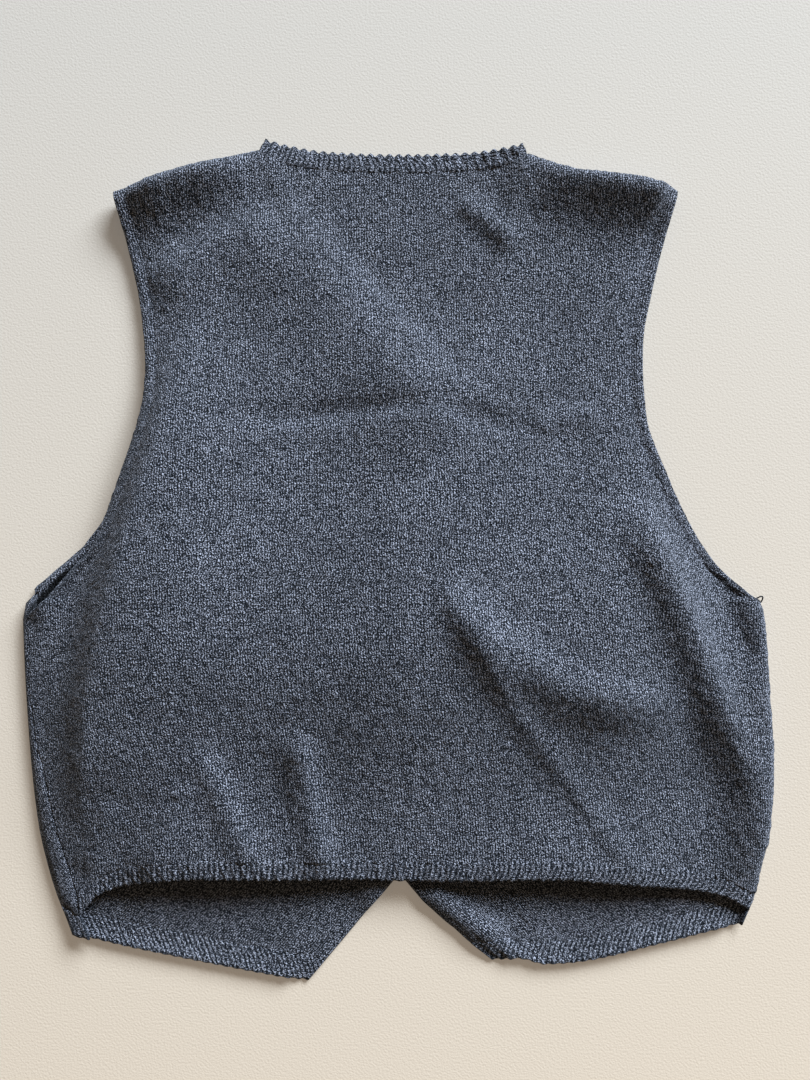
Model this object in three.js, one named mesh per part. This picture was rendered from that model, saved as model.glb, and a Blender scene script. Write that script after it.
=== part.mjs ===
// A knitted button-front vest with a V neck and cut-away front points.
// It lies flat on its fronts, so its back is on top, and everything is in millimetres.
// +X runs across the body, +Y runs up to the neck, +Z points up, and Z = 0 is the surface it lies on.
import * as THREE from "three";

// Cloth
const WALL = 2; // thickness of the knit
const SEAM = 0.3; // gap between two pieces at a seam
const BAND_SEAM = 0.5; // the same at a ribbed band, whose columns are closer than its panel's
const RIB_RELIEF = 0.9; // how far a rib stands out of its wall
const RIB_PITCH = 6.8; // one rib and one furrow along a band
const BACK_HEM_DEPTH = 11; // ribbed edge of the back

// How the layers lie
const BASE_AIR = 2; // loft between the fronts and the back
const LEAST_AIR = 0.45;
const SIDE_SEAM_Z = 4.5; // height of the side folds' outermost line
const SIDE_REACH = 6; // how far in from that line the cloth turns flat
const SHOULDER_SEAM_Z = 7;
const SHOULDER_REACH = 9;
const UNDERARM_Y = -25;
const BACK_CORNER_Y = -29.5; // where the back's side turns into its armhole
const UNDERARM_EASE = 9; // half of the height over which a side fold opens into an armhole

// The closed front: the wearer's right front lies outside the left one, so it lies under it here.
const NOTCH = { x: -2, y: -211 }; // where the cut-away edges part
const V_POINT = { x: 37.5, y: 99 }; // where the neck edges meet
const LAP = 12; // half of the overlap
const LAP_MARGIN = 2.5; // how far the lifted part of a front passes the other one's edge
const LAP_SLOPE = 16; // run of the slope from the lap down to the floor
const BUTTON = { radius: 7.5, thickness: 1.6, holeRadius: 1, holeOffset: 2.2, rows: [78, 0, -78, -156] };
const UNDER_LAP_Z = BUTTON.thickness + SEAM;
const OVER_LAP_Z = UNDER_LAP_Z + WALL + 1.5 * SEAM;
const LAP_HILL_WIDTH = 55; // half width of the rise that the lap makes in the back
const V_EDGE_RUN = 14; // run over which the back sags past the edge of the open V
const LAP_ENDS = { belowHem: -238, aboveHem: -216, belowNeck: 108, aboveNeck: 126 };

// Rounded forms along the back's borders
const HILL_ENDS = { ...LAP_ENDS, belowNeck: 100, aboveNeck: 175 };
const SHOULDER_ROLL = { crest: 2.5, height: 14.5, outerWidth: 12, innerWidth: 24 };
const SHOULDER_ROLL_END = { from: 0.45, to: 0.85, loss: 0.75 };
const SHOULDER_TIP = { loss: 0.5, reach: 0.2 };
const LEFT_SIDE_ROLL = { inset: 19, width: 18, height: 2.4 };
const RIGHT_SIDE_ROLL = { inset: 7, width: 13, height: 6 };
const SIDE_ROLL_FOOT = { none: -228, full: -165 }; // the right roll dies out to the hem
const SIDE_ROLL_TOP = { full: UNDERARM_Y - 20, none: UNDERARM_Y + 40 };
const ARMHOLE_SINK = { share: 0.7, width: 15 };

// Rows and columns of the panels
const BACK_COLUMNS = 28;
const BACK_ROWS = 27;
const FRONT_ROWS = 24;
const FRONT_COLUMNS = 8; // between the side fold and the lap
const NECK_BAND_COLUMNS = 16;
const LEAST_WRAP = 0.6; // what is left of the left front's turn at its armhole
const HEM_BOW_REACH = 0.3; // share of a front's height over which its hem's bow dies out
const SHOULDER_BOW_FROM = 0.6; // share of a front's height above which its shoulder bows

const YARN_COLOUR = 0x555a64;
const BUTTON_COLOUR = 0x2b2d31;

// A table's rows as objects, one value for each named column.
function table(columns, rows) {
  const names = columns.split(" ");
  return rows.map((row) => Object.fromEntries(names.map((name, i) => [name, row[i]])));
}

// Outer line of the cloth down the left side: the fold below the armhole.
const LEFT_FOLD = table("y x", [
  [-244, -212.5],
  [-229, -219.2],
  [-209, -226.4],
  [-170, -235.6],
  [-114, -241.5],
  [-52, -245],
  [-31, -245.5],
  [-23, -243.2],
]);
const RIGHT_FOLD = table("y x", [
  [-238.3, 225.5],
  [-219, 233.7],
  [-197, 238.3],
  [-180, 242.2],
  [-130, 245],
  [-91, 242.8],
  [-52, 240.2],
  [-32, 237.8],
  [-27, 235.6],
]);
// Edge of the back: inside the left fold, where the front wraps round it, then the armhole.
const BACK_LEFT_EDGE = table("y x", [
  [-230.4, -207],
  [-219.4, -208],
  [-197, -214],
  [-170, -222.5],
  [-140, -229.3],
  [-114, -236],
  [-85, -239.6],
  [-52, -241.2],
  [-36, -240.5],
  [BACK_CORNER_Y, -232.5],
  [-4.7, -210.3],
  [8.3, -198],
  [46, -183],
  [85, -169.9],
  [105, -165.4],
  [124, -164.7],
  [163, -168],
  [202, -175.8],
  [240, -184.9],
]);
const BACK_RIGHT_EDGE = table("y x", [
  ...RIGHT_FOLD.map(({ y, x }) => [y, x]),
  [-22, 228.2],
  [-3, 207.8],
  [17, 192.9],
  [56, 174.6],
  [95, 161.6],
  [125, 159.8],
  [144, 160.3],
  [173, 165.5],
  [212, 174.6],
  [240.6, 181.8],
]);
// Armhole edges of the fronts. The left one shows outside the back's at the underarm.
const FRONT_LEFT_EDGE = table("y x", [
  ...LEFT_FOLD.map(({ y, x }) => [y, x]),
  [-13, -231.3],
  [-3, -219],
  [7, -207.4],
  [27, -193.4],
  [46, -184],
  [66, -174],
  [105, -163.4],
  [124, -162.7],
  [163, -166],
  [202, -173.8],
  [240, -184.9],
]);
const FRONT_RIGHT_EDGE = table("y x", [
  ...RIGHT_FOLD.map(({ y, x }) => [y, x]),
  [-3, 204.5],
  [17, 190],
  [56, 172.2],
  [95, 159.4],
  [144, 158.2],
  [173, 163.4],
  [212, 173],
  [240.6, 181.8],
]);
// Lower edge of the back, arched up between its corners.
const BACK_HEM = table("x y", [
  [-207, -230.4],
  [-195, -217],
  [-173, -209.3],
  [-128, -204.6],
  [-50, -205.6],
  [27, -207],
  [105, -205.8],
  [143, -209],
  [188, -213.6],
  [214, -219.4],
  [229.5, -228],
]);
// Shoulder folds, from the armhole to the neck corner and on round the neck band's corner.
const LEFT_TIP = [-184.9, 240];
const LEFT_CORNER = [-91.4, 267.5];
const LEFT_HORN = [-86, 273.3];
const SHOULDER_LEFT = [LEFT_TIP, [-158, 249.3], [-136, 256], [-112, 261.8], LEFT_CORNER, LEFT_HORN];
const RIGHT_TIP = [181.8, 240.6];
const RIGHT_CORNER = [85.5, 265];
const RIGHT_HORN = [81, 270.6];
const SHOULDER_RIGHT = [RIGHT_TIP, [172, 245.4], [158, 248.9], [115, 254.6], RIGHT_CORNER, RIGHT_HORN];
// Seam between the back and its neck band, and the band's outer edge.
const NECK_SEAM = table("x y", [
  LEFT_CORNER,
  [-79, 261.2],
  [-44, 256.9],
  [1, 255.4],
  [47, 256.8],
  [74, 260],
  RIGHT_CORNER,
]);
const NECK_EDGE = table("x y", [
  LEFT_HORN,
  [-76, 270.6],
  [-44, 266.8],
  [1, 265.3],
  [47, 266.4],
  [72, 268.8],
  RIGHT_HORN,
]);
// Each row of a front runs from a place on its side to a place on its open edge.
const FRONT_LEFT_ROWS = table("sideY edgeX edgeY", [
  [-229, -49.5, -264.5],
  [-219, -38, -251],
  [-200, -16, -224],
  [-180, 6.5, -195],
  [-150, 15.5, -170],
  [-85, 22.9, -110],
  [-27, 33.3, -27],
  [40, 41.8, 40],
  [76, 47.6, 84],
  [90, 42, 92],
  [105, 30, 104],
  [144, -10, 148],
  [183, -53, 190],
  [210, -82, 224],
  [240, -100, 265.1],
]);
const FRONT_RIGHT_ROWS = table("sideY edgeX edgeY", [
  [-224, 49.5, -251.2],
  [-214, 37.5, -240.8],
  [-200, 19, -224.3],
  [-182, 0, -203],
  [-165, -9.5, -186],
  [-120, -2, -120],
  [-27, 9.2, -27],
  [40, 17.7, 40],
  [72, 22.2, 78],
  [88, 32, 92],
  [105, 47.3, 98],
  [144, 63, 136],
  [183, 77, 182],
  [212, 87, 228],
  [240.6, 95.5, 261.3],
]);
// Open corners of the two ribbed front hems, and the bow of each lower edge below a straight line.
const FRONT_LEFT_TIP = { x: -59.2, y: -275.8 };
const FRONT_RIGHT_TIP = { x: 61.8, y: -262 };
const FRONT_LEFT_BOW = table("share drop", [
  [0, 0],
  [0.3, 1.4],
  [0.65, 1],
  [1, 0],
]);
const FRONT_RIGHT_BOW = table("share drop", [
  [0, 0],
  [0.05, 0.2],
  [0.33, 4.6],
  [0.65, 9],
  [0.8, 7.4],
  [0.92, 0.6],
  [1, 0],
]);
// Outer edges of the neck bands down the two fronts, from the lap up to the shoulder.
const NECK_LEFT_EDGE = table("sideY x y", [
  [76, 49, 97],
  [90, 45, 103],
  [105, 38, 112],
  [144, -3, 155],
  [183, -45, 198],
  [210, -73, 231],
  [240, ...LEFT_CORNER],
]);
const NECK_RIGHT_EDGE = table("sideY x y", [
  [72, 24.2, 88],
  [88, 30, 95],
  [105, 40, 105],
  [144, 54, 140],
  [183, 67.5, 186],
  [212, 77.5, 231],
  [240.6, ...RIGHT_CORNER],
]);

// Folds of the back. A ridge has a positive height, and its two flanks have their own widths.
const FOLDS = table("name height left right path", [
  ["shoulder fold left", 4.5, 13, 26, [[-168, 172], [-120, 205], [-74, 226]]],
  ["yoke fold", 6.5, 24, 46, [[-94, 236], [-64, 192], [-16, 138], [20, 98], [42, 80]]],
  ["neck fold right", 3, 8, 8, [[36, 238], [58, 223], [80, 202]]],
  ["crease", -2.3, 9, 6, [[-150, 95], [-65, 92.5], [-18, 98], [28, 102], [54, 90], [133, 75]]],
  ["small ridge", 2.4, 7, 9, [[84, 83], [108, 92], [134, 98]]],
  ["dome", 17, 120, 85, [[-246, -60], [0, -52], [250, -60]]],
  ["long ridge", 5.5, 13, 19, [[22, -12], [61, -51], [107, -81], [200, -102]]],
  ["long ridge foot", 2.6, 12, 9, [[24, -6], [50, -50], [76, -94]]],
  ["thin ridge", 1.8, 9, 7, [[50, -64], [107, -138], [168, -224]]],
  ["side ridge", 9.5, 13, 17, [[146, 48], [174, -12], [195, -60], [236, -172]]],
  ["side trough", -3.5, 9, 9, [[198, 8], [214, -26], [234, -84]]],
  ["left slope", 14, 60, 23,
    [[-120, 190], [-142, 110], [-163, 35], [-182, -30], [-194, -90], [-197, -150], [-196, -225]]],
  ["hem flute 1", 3, 9, 10, [[-128, -136], [-146, -170], [-168, -212]]],
  ["hem flute 2", 4, 8, 12, [[-130, -116], [-112, -155], [-88, -206]]],
  ["hem flute 3", 5, 8, 13, [[-66, -102], [-58, -150], [-46, -212]]],
  ["corner ridge", 2.6, 9, 8, [[-178, -150], [-192, -178], [-204, -206]]],
  ["underarm gap", 4, 11, 9, [[-243, -40], [-230, -22], [-214, -2], [-188, 34]]],
]);
// The back's lower edge stands clear of the fronts in two arches.
const ARCHES = table("name x halfWidth height depth", [
  ["left arch", -112, 92, 8.5, 42],
  ["right arch", 112, 102, 6.5, 38],
]);
// A ridge just inside the right front's cut-away edge, where the knit curls.
const CUT_EDGE_CURL = {
  height: 3.6,
  left: 9,
  right: 7,
  path: [[76, -250], [52, -240], [30, -222], [14, -205]],
};

function clamp01(t) {
  return Math.min(1, Math.max(0, t));
}

function smoothstep(from, to, x) {
  const t = clamp01((x - from) / (to - from));
  return t * t * (3 - 2 * t);
}

function mix(a, b, t) {
  return a + (b - a) * t;
}

function bell(x) {
  return Math.exp(-x * x);
}

// A smooth curve through the rows of a table, which never overshoots them.
function curveThrough(rows, at, value) {
  const xs = rows.map((row) => row[at]);
  const ys = rows.map((row) => row[value]);
  const last = xs.length - 1;
  const rates = xs.slice(1).map((x, i) => (ys[i + 1] - ys[i]) / (x - xs[i]));
  const slopes = xs.map((_, i) => {
    if (i === 0) return rates[0];
    if (i === last) return rates[last - 1];
    const before = rates[i - 1];
    const after = rates[i];
    return before * after <= 0 ? 0 : (2 * before * after) / (before + after);
  });
  return (x) => {
    let i = 0;
    while (i < last - 1 && x > xs[i + 1]) i++;
    const span = xs[i + 1] - xs[i];
    const t = clamp01((x - xs[i]) / span);
    const t2 = t * t;
    const t3 = t2 * t;
    const start = (2 * t3 - 3 * t2 + 1) * ys[i] + (t3 - 2 * t2 + t) * span * slopes[i];
    return start + (3 * t2 - 2 * t3) * ys[i + 1] + (t3 - t2) * span * slopes[i + 1];
  };
}

const leftFoldX = curveThrough(LEFT_FOLD, "y", "x");
const rightFoldX = curveThrough(RIGHT_FOLD, "y", "x");
const backLeftX = curveThrough(BACK_LEFT_EDGE, "y", "x");
const backRightX = curveThrough(BACK_RIGHT_EDGE, "y", "x");
const frontLeftX = curveThrough(FRONT_LEFT_EDGE, "y", "x");
const frontRightX = curveThrough(FRONT_RIGHT_EDGE, "y", "x");
const backHemY = curveThrough(BACK_HEM, "x", "y");
const neckSeamY = curveThrough(NECK_SEAM, "x", "y");
const neckEdgeY = curveThrough(NECK_EDGE, "x", "y");

// The nearest place on a polyline: how far off it is, on which side, and how far along.
function nearest(path, x, y) {
  let best = { distance: Infinity, side: 1, along: 0 };
  for (let i = 0; i < path.length - 1; i++) {
    const [ax, ay] = path[i];
    const [bx, by] = path[i + 1];
    const dx = bx - ax;
    const dy = by - ay;
    const t = ((x - ax) * dx + (y - ay) * dy) / (dx * dx + dy * dy);
    const held = clamp01(t);
    const distance = Math.hypot(x - ax - dx * held, y - ay - dy * held);
    if (distance < best.distance) {
      const side = dx * (y - ay) - dy * (x - ax) > 0 ? 1 : -1;
      best = { distance, side, along: (i + held) / (path.length - 1) };
    }
  }
  return best;
}

function foldHeight({ path, height, left, right }, x, y) {
  const { distance, side, along } = nearest(path, x, y);
  const width = side > 0 ? left : right;
  const ends = smoothstep(0, 0.25, along) * (1 - smoothstep(0.75, 1, along));
  return height * bell(distance / width) * ends;
}

function frontCentreX(y) {
  const share = clamp01((y - NOTCH.y) / (V_POINT.y - NOTCH.y));
  return mix(NOTCH.x, V_POINT.x, share);
}

// 1 along the buttoned front, falling to 0 past its two ends.
function lapShare(y, { belowHem, aboveHem, belowNeck, aboveNeck } = LAP_ENDS) {
  return smoothstep(belowHem, aboveHem, y) * (1 - smoothstep(belowNeck, aboveNeck, y));
}

const V_LEFT = NECK_LEFT_EDGE.map(({ x, y }) => [x, y]);
const V_RIGHT = NECK_RIGHT_EDGE.map(({ x, y }) => [x, y]);

// How deep a place is inside the open V, below zero outside it.
function insideV(x, y) {
  const left = nearest(V_LEFT, x, y);
  const right = nearest(V_RIGHT, x, y);
  return Math.min(-left.side * left.distance, right.side * right.distance);
}

// The surface that the back lies on, smoothed as cloth smooths it.
function supportZ(x, y) {
  const across = bell((x - frontCentreX(y)) / LAP_HILL_WIDTH);
  const hill = (OVER_LAP_Z + SEAM) * across * lapShare(y, HILL_ENDS);
  return WALL * (1 - smoothstep(1, V_EDGE_RUN, insideV(x, y))) + hill;
}

function shoulderRoll(x, y) {
  const { crest, height, outerWidth, innerWidth } = SHOULDER_ROLL;
  return [SHOULDER_LEFT, SHOULDER_RIGHT].reduce((sum, path) => {
    const { distance, along } = nearest(path, x, y);
    const width = distance < crest ? outerWidth : innerWidth;
    const end = smoothstep(SHOULDER_ROLL_END.from, SHOULDER_ROLL_END.to, along);
    const tip = 1 - smoothstep(0, SHOULDER_TIP.reach, along);
    const share = 1 - SHOULDER_ROLL_END.loss * end - SHOULDER_TIP.loss * tip;
    return sum + height * share * bell((distance - crest) / width);
  }, 0);
}

function archLift(x, y) {
  return ARCHES.reduce((sum, { x: middle, halfWidth, height, depth }) => {
    const across = clamp01(1 - ((x - middle) / halfWidth) ** 2);
    const up = bell((y - backHemY(x)) / depth);
    return sum + height * across ** 1.3 * up;
  }, 0);
}

// 1 inside the back and less at an armhole, where the cloth lies lower.
function armholeEase(x, y) {
  if (y < UNDERARM_Y) return 1;
  const inset = Math.min(x - backLeftX(y), backRightX(y) - x);
  return 1 - ARMHOLE_SINK.share * bell(inset / ARMHOLE_SINK.width);
}

function sideRollHeight({ inset, width, height }, distance) {
  return height * bell((distance - inset) / width);
}

function openBackZ(x, y) {
  const left = sideRollHeight(LEFT_SIDE_ROLL, x - leftFoldX(y));
  const right = sideRollHeight(RIGHT_SIDE_ROLL, rightFoldX(y) - x);
  const foot = smoothstep(SIDE_ROLL_FOOT.none, SIDE_ROLL_FOOT.full, y);
  const top = smoothstep(SIDE_ROLL_TOP.none, SIDE_ROLL_TOP.full, y);
  const sides = (left + right * foot) * top;
  const folds = FOLDS.reduce((sum, fold) => sum + foldHeight(fold, x, y), 0);
  const air = BASE_AIR * armholeEase(x, y) + shoulderRoll(x, y) + archLift(x, y) + folds + sides;
  return supportZ(x, y) + WALL + Math.max(LEAST_AIR, air);
}

// The share of its full height that a rolled edge reaches, a distance in from the fold.
function rollShare(distance, reach) {
  const t = 1 - clamp01(distance / reach);
  return Math.sqrt(1 - t * t);
}

// 1 where the sides are folded, 0 up at the armholes.
function foldedShare(y) {
  return 1 - smoothstep(UNDERARM_Y - UNDERARM_EASE, UNDERARM_Y + UNDERARM_EASE, y);
}

function backZ(x, y) {
  const inset = Math.min(x - leftFoldX(y), rightFoldX(y) - x);
  const sideRoll = mix(1, rollShare(inset, SIDE_REACH), foldedShare(y));
  const z = mix(SIDE_SEAM_Z + SEAM, openBackZ(x, y), sideRoll);
  return mix(SHOULDER_SEAM_Z + SEAM, z, rollShare(toShoulderFold(x, y), SHOULDER_REACH));
}

function toShoulderFold(x, y) {
  return Math.min(nearest(SHOULDER_LEFT, x, y).distance, nearest(SHOULDER_RIGHT, x, y).distance);
}

// Underside of each front, away from its side.
function frontLeftZ(x, y) {
  const centre = frontCentreX(y);
  const full = centre - LAP - LAP_MARGIN;
  const lap = smoothstep(full - LAP_SLOPE, full, x) * lapShare(y);
  return shoulderTurn(x, y, OVER_LAP_Z * lap, SHOULDER_LEFT);
}

function frontRightZ(x, y) {
  const centre = frontCentreX(y);
  const full = centre + LAP + LAP_MARGIN;
  const lap = (1 - smoothstep(full, full + LAP_SLOPE, x)) * lapShare(y);
  return shoulderTurn(x, y, UNDER_LAP_Z * lap + foldHeight(CUT_EDGE_CURL, x, y), SHOULDER_RIGHT);
}

function shoulderTurn(x, y, z, path) {
  return mix(SHOULDER_SEAM_Z, z, rollShare(nearest(path, x, y).distance, SHOULDER_REACH));
}

// Grids of points: rows from hem to neck, and points across each row.
function normalAt(grid, j, i) {
  const rowAbove = grid[Math.min(j + 1, grid.length - 1)];
  const rowBelow = grid[Math.max(j - 1, 0)];
  const row = grid[j];
  const across = row[Math.min(i + 1, row.length - 1)].clone().sub(row[Math.max(i - 1, 0)]);
  const up = rowAbove[i].clone().sub(rowBelow[i]);
  return across.cross(up).normalize();
}

// The same grid moved along its normals: the other face of a wall.
function movedGrid(grid, distance) {
  return grid.map((row, j) => row.map((p, i) => p.clone().addScaledVector(normalAt(grid, j, i), distance)));
}

function signedVolume(vertices, faces) {
  return faces.reduce((sum, [a, b, c]) => {
    const cross = vertices[b].clone().cross(vertices[c]);
    return sum + vertices[a].dot(cross) / 6;
  }, 0);
}

// A closed wall between two grids of the same size.
function wallGeometry(outer, inner) {
  const rows = outer.length;
  const columns = outer[0].length;
  const vertices = [...outer.flat(), ...inner.flat()];
  const at = (layer, j, i) => layer * rows * columns + j * columns + i;
  const faces = [];
  const quad = (a, b, c, d) => faces.push([a, b, c], [a, c, d]);
  for (let j = 0; j < rows - 1; j++) {
    for (let i = 0; i < columns - 1; i++) {
      quad(at(0, j, i), at(0, j, i + 1), at(0, j + 1, i + 1), at(0, j + 1, i));
      quad(at(1, j, i), at(1, j + 1, i), at(1, j + 1, i + 1), at(1, j, i + 1));
    }
  }
  for (let i = 0; i < columns - 1; i++) {
    quad(at(0, 0, i), at(1, 0, i), at(1, 0, i + 1), at(0, 0, i + 1));
    quad(at(0, rows - 1, i), at(0, rows - 1, i + 1), at(1, rows - 1, i + 1), at(1, rows - 1, i));
  }
  for (let j = 0; j < rows - 1; j++) {
    quad(at(0, j, 0), at(0, j + 1, 0), at(1, j + 1, 0), at(1, j, 0));
    quad(at(0, j, columns - 1), at(1, j, columns - 1), at(1, j + 1, columns - 1), at(0, j + 1, columns - 1));
  }
  const outward = signedVolume(vertices, faces) > 0;
  const index = faces.flatMap(([a, b, c]) => (outward ? [a, b, c] : [a, c, b]));
  const geometry = new THREE.BufferGeometry().setFromPoints(vertices);
  geometry.setIndex(index);
  geometry.computeVertexNormals();
  return geometry;
}

function evenStops(count) {
  return Array.from({ length: count + 1 }, (_, i) => i / count);
}

// Even stops with closer ones at chosen ends, and the nearest inner stop moved to each needed place.
function stops({ count, size, startInsets = [], endInsets = [], needed = [] }) {
  const start = startInsets.map((mm) => mm / size);
  const end = endInsets.map((mm) => 1 - mm / size);
  const from = start.length ? start[start.length - 1] : 0;
  const to = end.length ? end[end.length - 1] : 1;
  const between = evenStops(count).map((t) => mix(from, to, t));
  const list = [...start.slice(0, -1), ...between, ...end.slice(0, -1).reverse()];
  needed.forEach((place) => {
    const gaps = list.map((t) => Math.abs(t - place));
    list[gaps.indexOf(Math.min(...gaps))] = place;
  });
  return list;
}

const ROLL_INSETS = [0, 0.35, 1.4, 3.2, 6, 11];

// The height up the page of a shoulder line at a place across it.
function lineY(path, x) {
  const sorted = [...path].sort((a, b) => a[0] - b[0]);
  let i = 0;
  while (i < sorted.length - 2 && x > sorted[i + 1][0]) i++;
  const [[ax, ay], [bx, by]] = [sorted[i], sorted[i + 1]];
  return mix(ay, by, (x - ax) / (bx - ax));
}

function backTopY(x) {
  if (x < LEFT_CORNER[0]) return lineY(SHOULDER_LEFT, x);
  if (x > RIGHT_CORNER[0]) return lineY(SHOULDER_RIGHT, x);
  return neckSeamY(x);
}

// The back's panel between its hem seam, its two sides, and its shoulders and neck seam.
function backHemSeamY(x) {
  return backHemY(x) + BACK_HEM_DEPTH;
}

function backPlan() {
  const lowLeft = BACK_HEM[0].y + BACK_HEM_DEPTH;
  const lowRight = BACK_HEM[BACK_HEM.length - 1].y + BACK_HEM_DEPTH;
  const left = (v) => {
    const y = mix(lowLeft, LEFT_TIP[1], v);
    return new THREE.Vector2(backLeftX(y), y);
  };
  const right = (v) => {
    const y = mix(lowRight, RIGHT_TIP[1], v);
    return new THREE.Vector2(backRightX(y), y);
  };
  const bottom = (u) => {
    const x = mix(left(0).x, right(0).x, u);
    return new THREE.Vector2(x, backHemSeamY(x));
  };
  const top = (u) => {
    const x = mix(left(1).x, right(1).x, u);
    return new THREE.Vector2(x, backTopY(x));
  };
  return { left, right, bottom, top };
}

// A place inside four border curves, blended from all of them.
function blended({ left, right, bottom, top }, u, v) {
  const point = bottom(u).multiplyScalar(1 - v);
  point.addScaledVector(top(u), v);
  point.addScaledVector(left(v), 1 - u);
  point.addScaledVector(right(v), u);
  point.addScaledVector(left(0), -(1 - u) * (1 - v));
  point.addScaledVector(right(0), -u * (1 - v));
  point.addScaledVector(left(1), -(1 - u) * v);
  point.addScaledVector(right(1), -u * v);
  return point;
}

function backGrid() {
  const plan = backPlan();
  const shoulders = RIGHT_TIP[0] - LEFT_TIP[0];
  const neckCorners = [LEFT_CORNER, RIGHT_CORNER].map(([x]) => (x - LEFT_TIP[0]) / shoulders);
  const across = stops({
    count: BACK_COLUMNS,
    size: plan.bottom(1).x - plan.bottom(0).x,
    startInsets: ROLL_INSETS,
    endInsets: ROLL_INSETS,
    needed: neckCorners,
  });
  const low = plan.left(0).y;
  const size = LEFT_TIP[1] - low;
  const needed = [(BACK_CORNER_Y - low) / size];
  const up = stops({ count: BACK_ROWS, size, endInsets: ROLL_INSETS, needed });
  return up.map((v) =>
    across.map((u) => {
      const { x, y } = blended(plan, u, v);
      return new THREE.Vector3(x, y, backZ(x, y));
    }),
  );
}

// Ribs
function ribColumns(length, pitch) {
  return 2 * Math.round(length / pitch);
}

function lineLength(points) {
  return points.slice(1).reduce((sum, p, i) => sum + p.distanceTo(points[i]), 0);
}

// Raises every other column of a band's points, so that the ribs run across the band.
function withRibs(grid, outwards) {
  const raise = (p, j, i) => p.clone().addScaledVector(normalAt(grid, j, i), RIB_RELIEF * outwards);
  return grid.map((row, j) => row.map((p, i) => (i % 2 ? raise(p, j, i) : p)));
}

// The place a share of the way along a line of points.
function alongLine(points, share) {
  const lengths = [0];
  points.slice(1).forEach((p, i) => lengths.push(lengths[i] + p.distanceTo(points[i])));
  const target = share * lengths[lengths.length - 1];
  let i = 0;
  while (i < points.length - 2 && target > lengths[i + 1]) i++;
  const t = (target - lengths[i]) / (lengths[i + 1] - lengths[i]);
  return points[i].clone().lerp(points[i + 1], clamp01(t));
}

// The share of the way from a seam to an edge that leaves the gap square to the seam.
function gapShare(seam, share, from, to) {
  const ahead = alongLine(seam, clamp01(share + 0.01));
  const tangent = ahead.sub(alongLine(seam, clamp01(share - 0.01))).normalize();
  const reach = to.clone().sub(from);
  return BAND_SEAM / tangent.cross(reach).length();
}

// A band from a panel's border to its own free edge, one row of points for each share of its depth.
function bandGrid({ seam, edge, columns, shares, height }) {
  return shares.map((share) =>
    Array.from({ length: columns + 1 }, (_, i) => {
      const from = alongLine(seam, i / columns);
      const to = edge(i / columns);
      const gap = gapShare(seam, i / columns, from, to);
      const place = from.clone().lerp(to, mix(gap, 1, share));
      if (height) place.z = height(place.x, place.y) + (from.z - height(from.x, from.y)) * (1 - share);
      return place;
    }),
  );
}

function backHemGrid(back) {
  const seam = back[0];
  const [start, end] = [BACK_HEM[0].x, BACK_HEM[BACK_HEM.length - 1].x];
  const edge = (along) => {
    const x = mix(start, end, along);
    return new THREE.Vector3(x, backHemY(x), backZ(x, backHemY(x)));
  };
  const columns = ribColumns(lineLength(seam), RIB_PITCH);
  return bandGrid({ seam, edge, columns, shares: [1, 0.5, 0], height: backZ });
}

function neckGrid(back) {
  const top = back[back.length - 1];
  const seam = top.filter(({ x }) => x > LEFT_CORNER[0] - SEAM && x < RIGHT_CORNER[0] + SEAM);
  const edge = (along) => {
    const x = mix(LEFT_HORN[0], RIGHT_HORN[0], along);
    return new THREE.Vector3(x, neckEdgeY(x), backZ(x, neckEdgeY(x)));
  };
  const columns = ribColumns(lineLength(seam), RIB_PITCH);
  return bandGrid({ seam, edge, columns, shares: [0, 0.5, 1], height: backZ });
}

// The fronts. Each row starts at the seam on the side fold, turns round the fold and runs to the open edge.
const TURN_LENGTH = (Math.PI / 2) * Math.sqrt((SIDE_REACH ** 2 + SIDE_SEAM_Z ** 2) / 2);

// How far the left front comes round its fold, measured on top.
function wrapOnTop(y) {
  return Math.max(0, backLeftX(y) - leftFoldX(y) - SEAM);
}

// A place along a front's row: its distance in from the fold, and its height there or null on the flat.
function sideSection(path, topZ) {
  if (path < 0) return { inset: -path, z: topZ(-path) };
  if (path > TURN_LENGTH) return { inset: SIDE_REACH + path - TURN_LENGTH, z: null };
  const angle = ((path / TURN_LENGTH) * Math.PI) / 2;
  return { inset: SIDE_REACH * (1 - Math.cos(angle)), z: SIDE_SEAM_Z * (1 - Math.sin(angle)) };
}

function frontRow(front, sideY) {
  const side = new THREE.Vector2(front.sideX(sideY), sideY);
  const edge = new THREE.Vector2(front.edgeX(sideY), front.edgeY(sideY));
  return { side, edge };
}

// A front's underside at a path length along one of its rows, which starts at the path of its seam.
function frontPoint(front, row, path, start, drop = 0) {
  const length = row.side.distanceTo(row.edge);
  const direction = row.edge.clone().sub(row.side).divideScalar(length);
  const folded = foldedShare(row.side.y);
  const topZ = (inset) => backZ(row.side.x + direction.x * inset, row.side.y);
  const { inset, z } = sideSection(path, topZ);
  const spread = (SIDE_REACH * (path - start)) / (TURN_LENGTH - start);
  const reach = path > TURN_LENGTH ? inset : mix(spread, inset, folded);
  const place = row.side.clone().addScaledVector(direction, Math.min(reach, length));
  place.y -= drop;
  const flat = front.underZ(place.x, place.y);
  const height = z === null ? flat : mix(flat, z, folded);
  return new THREE.Vector3(place.x, place.y, height);
}

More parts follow.
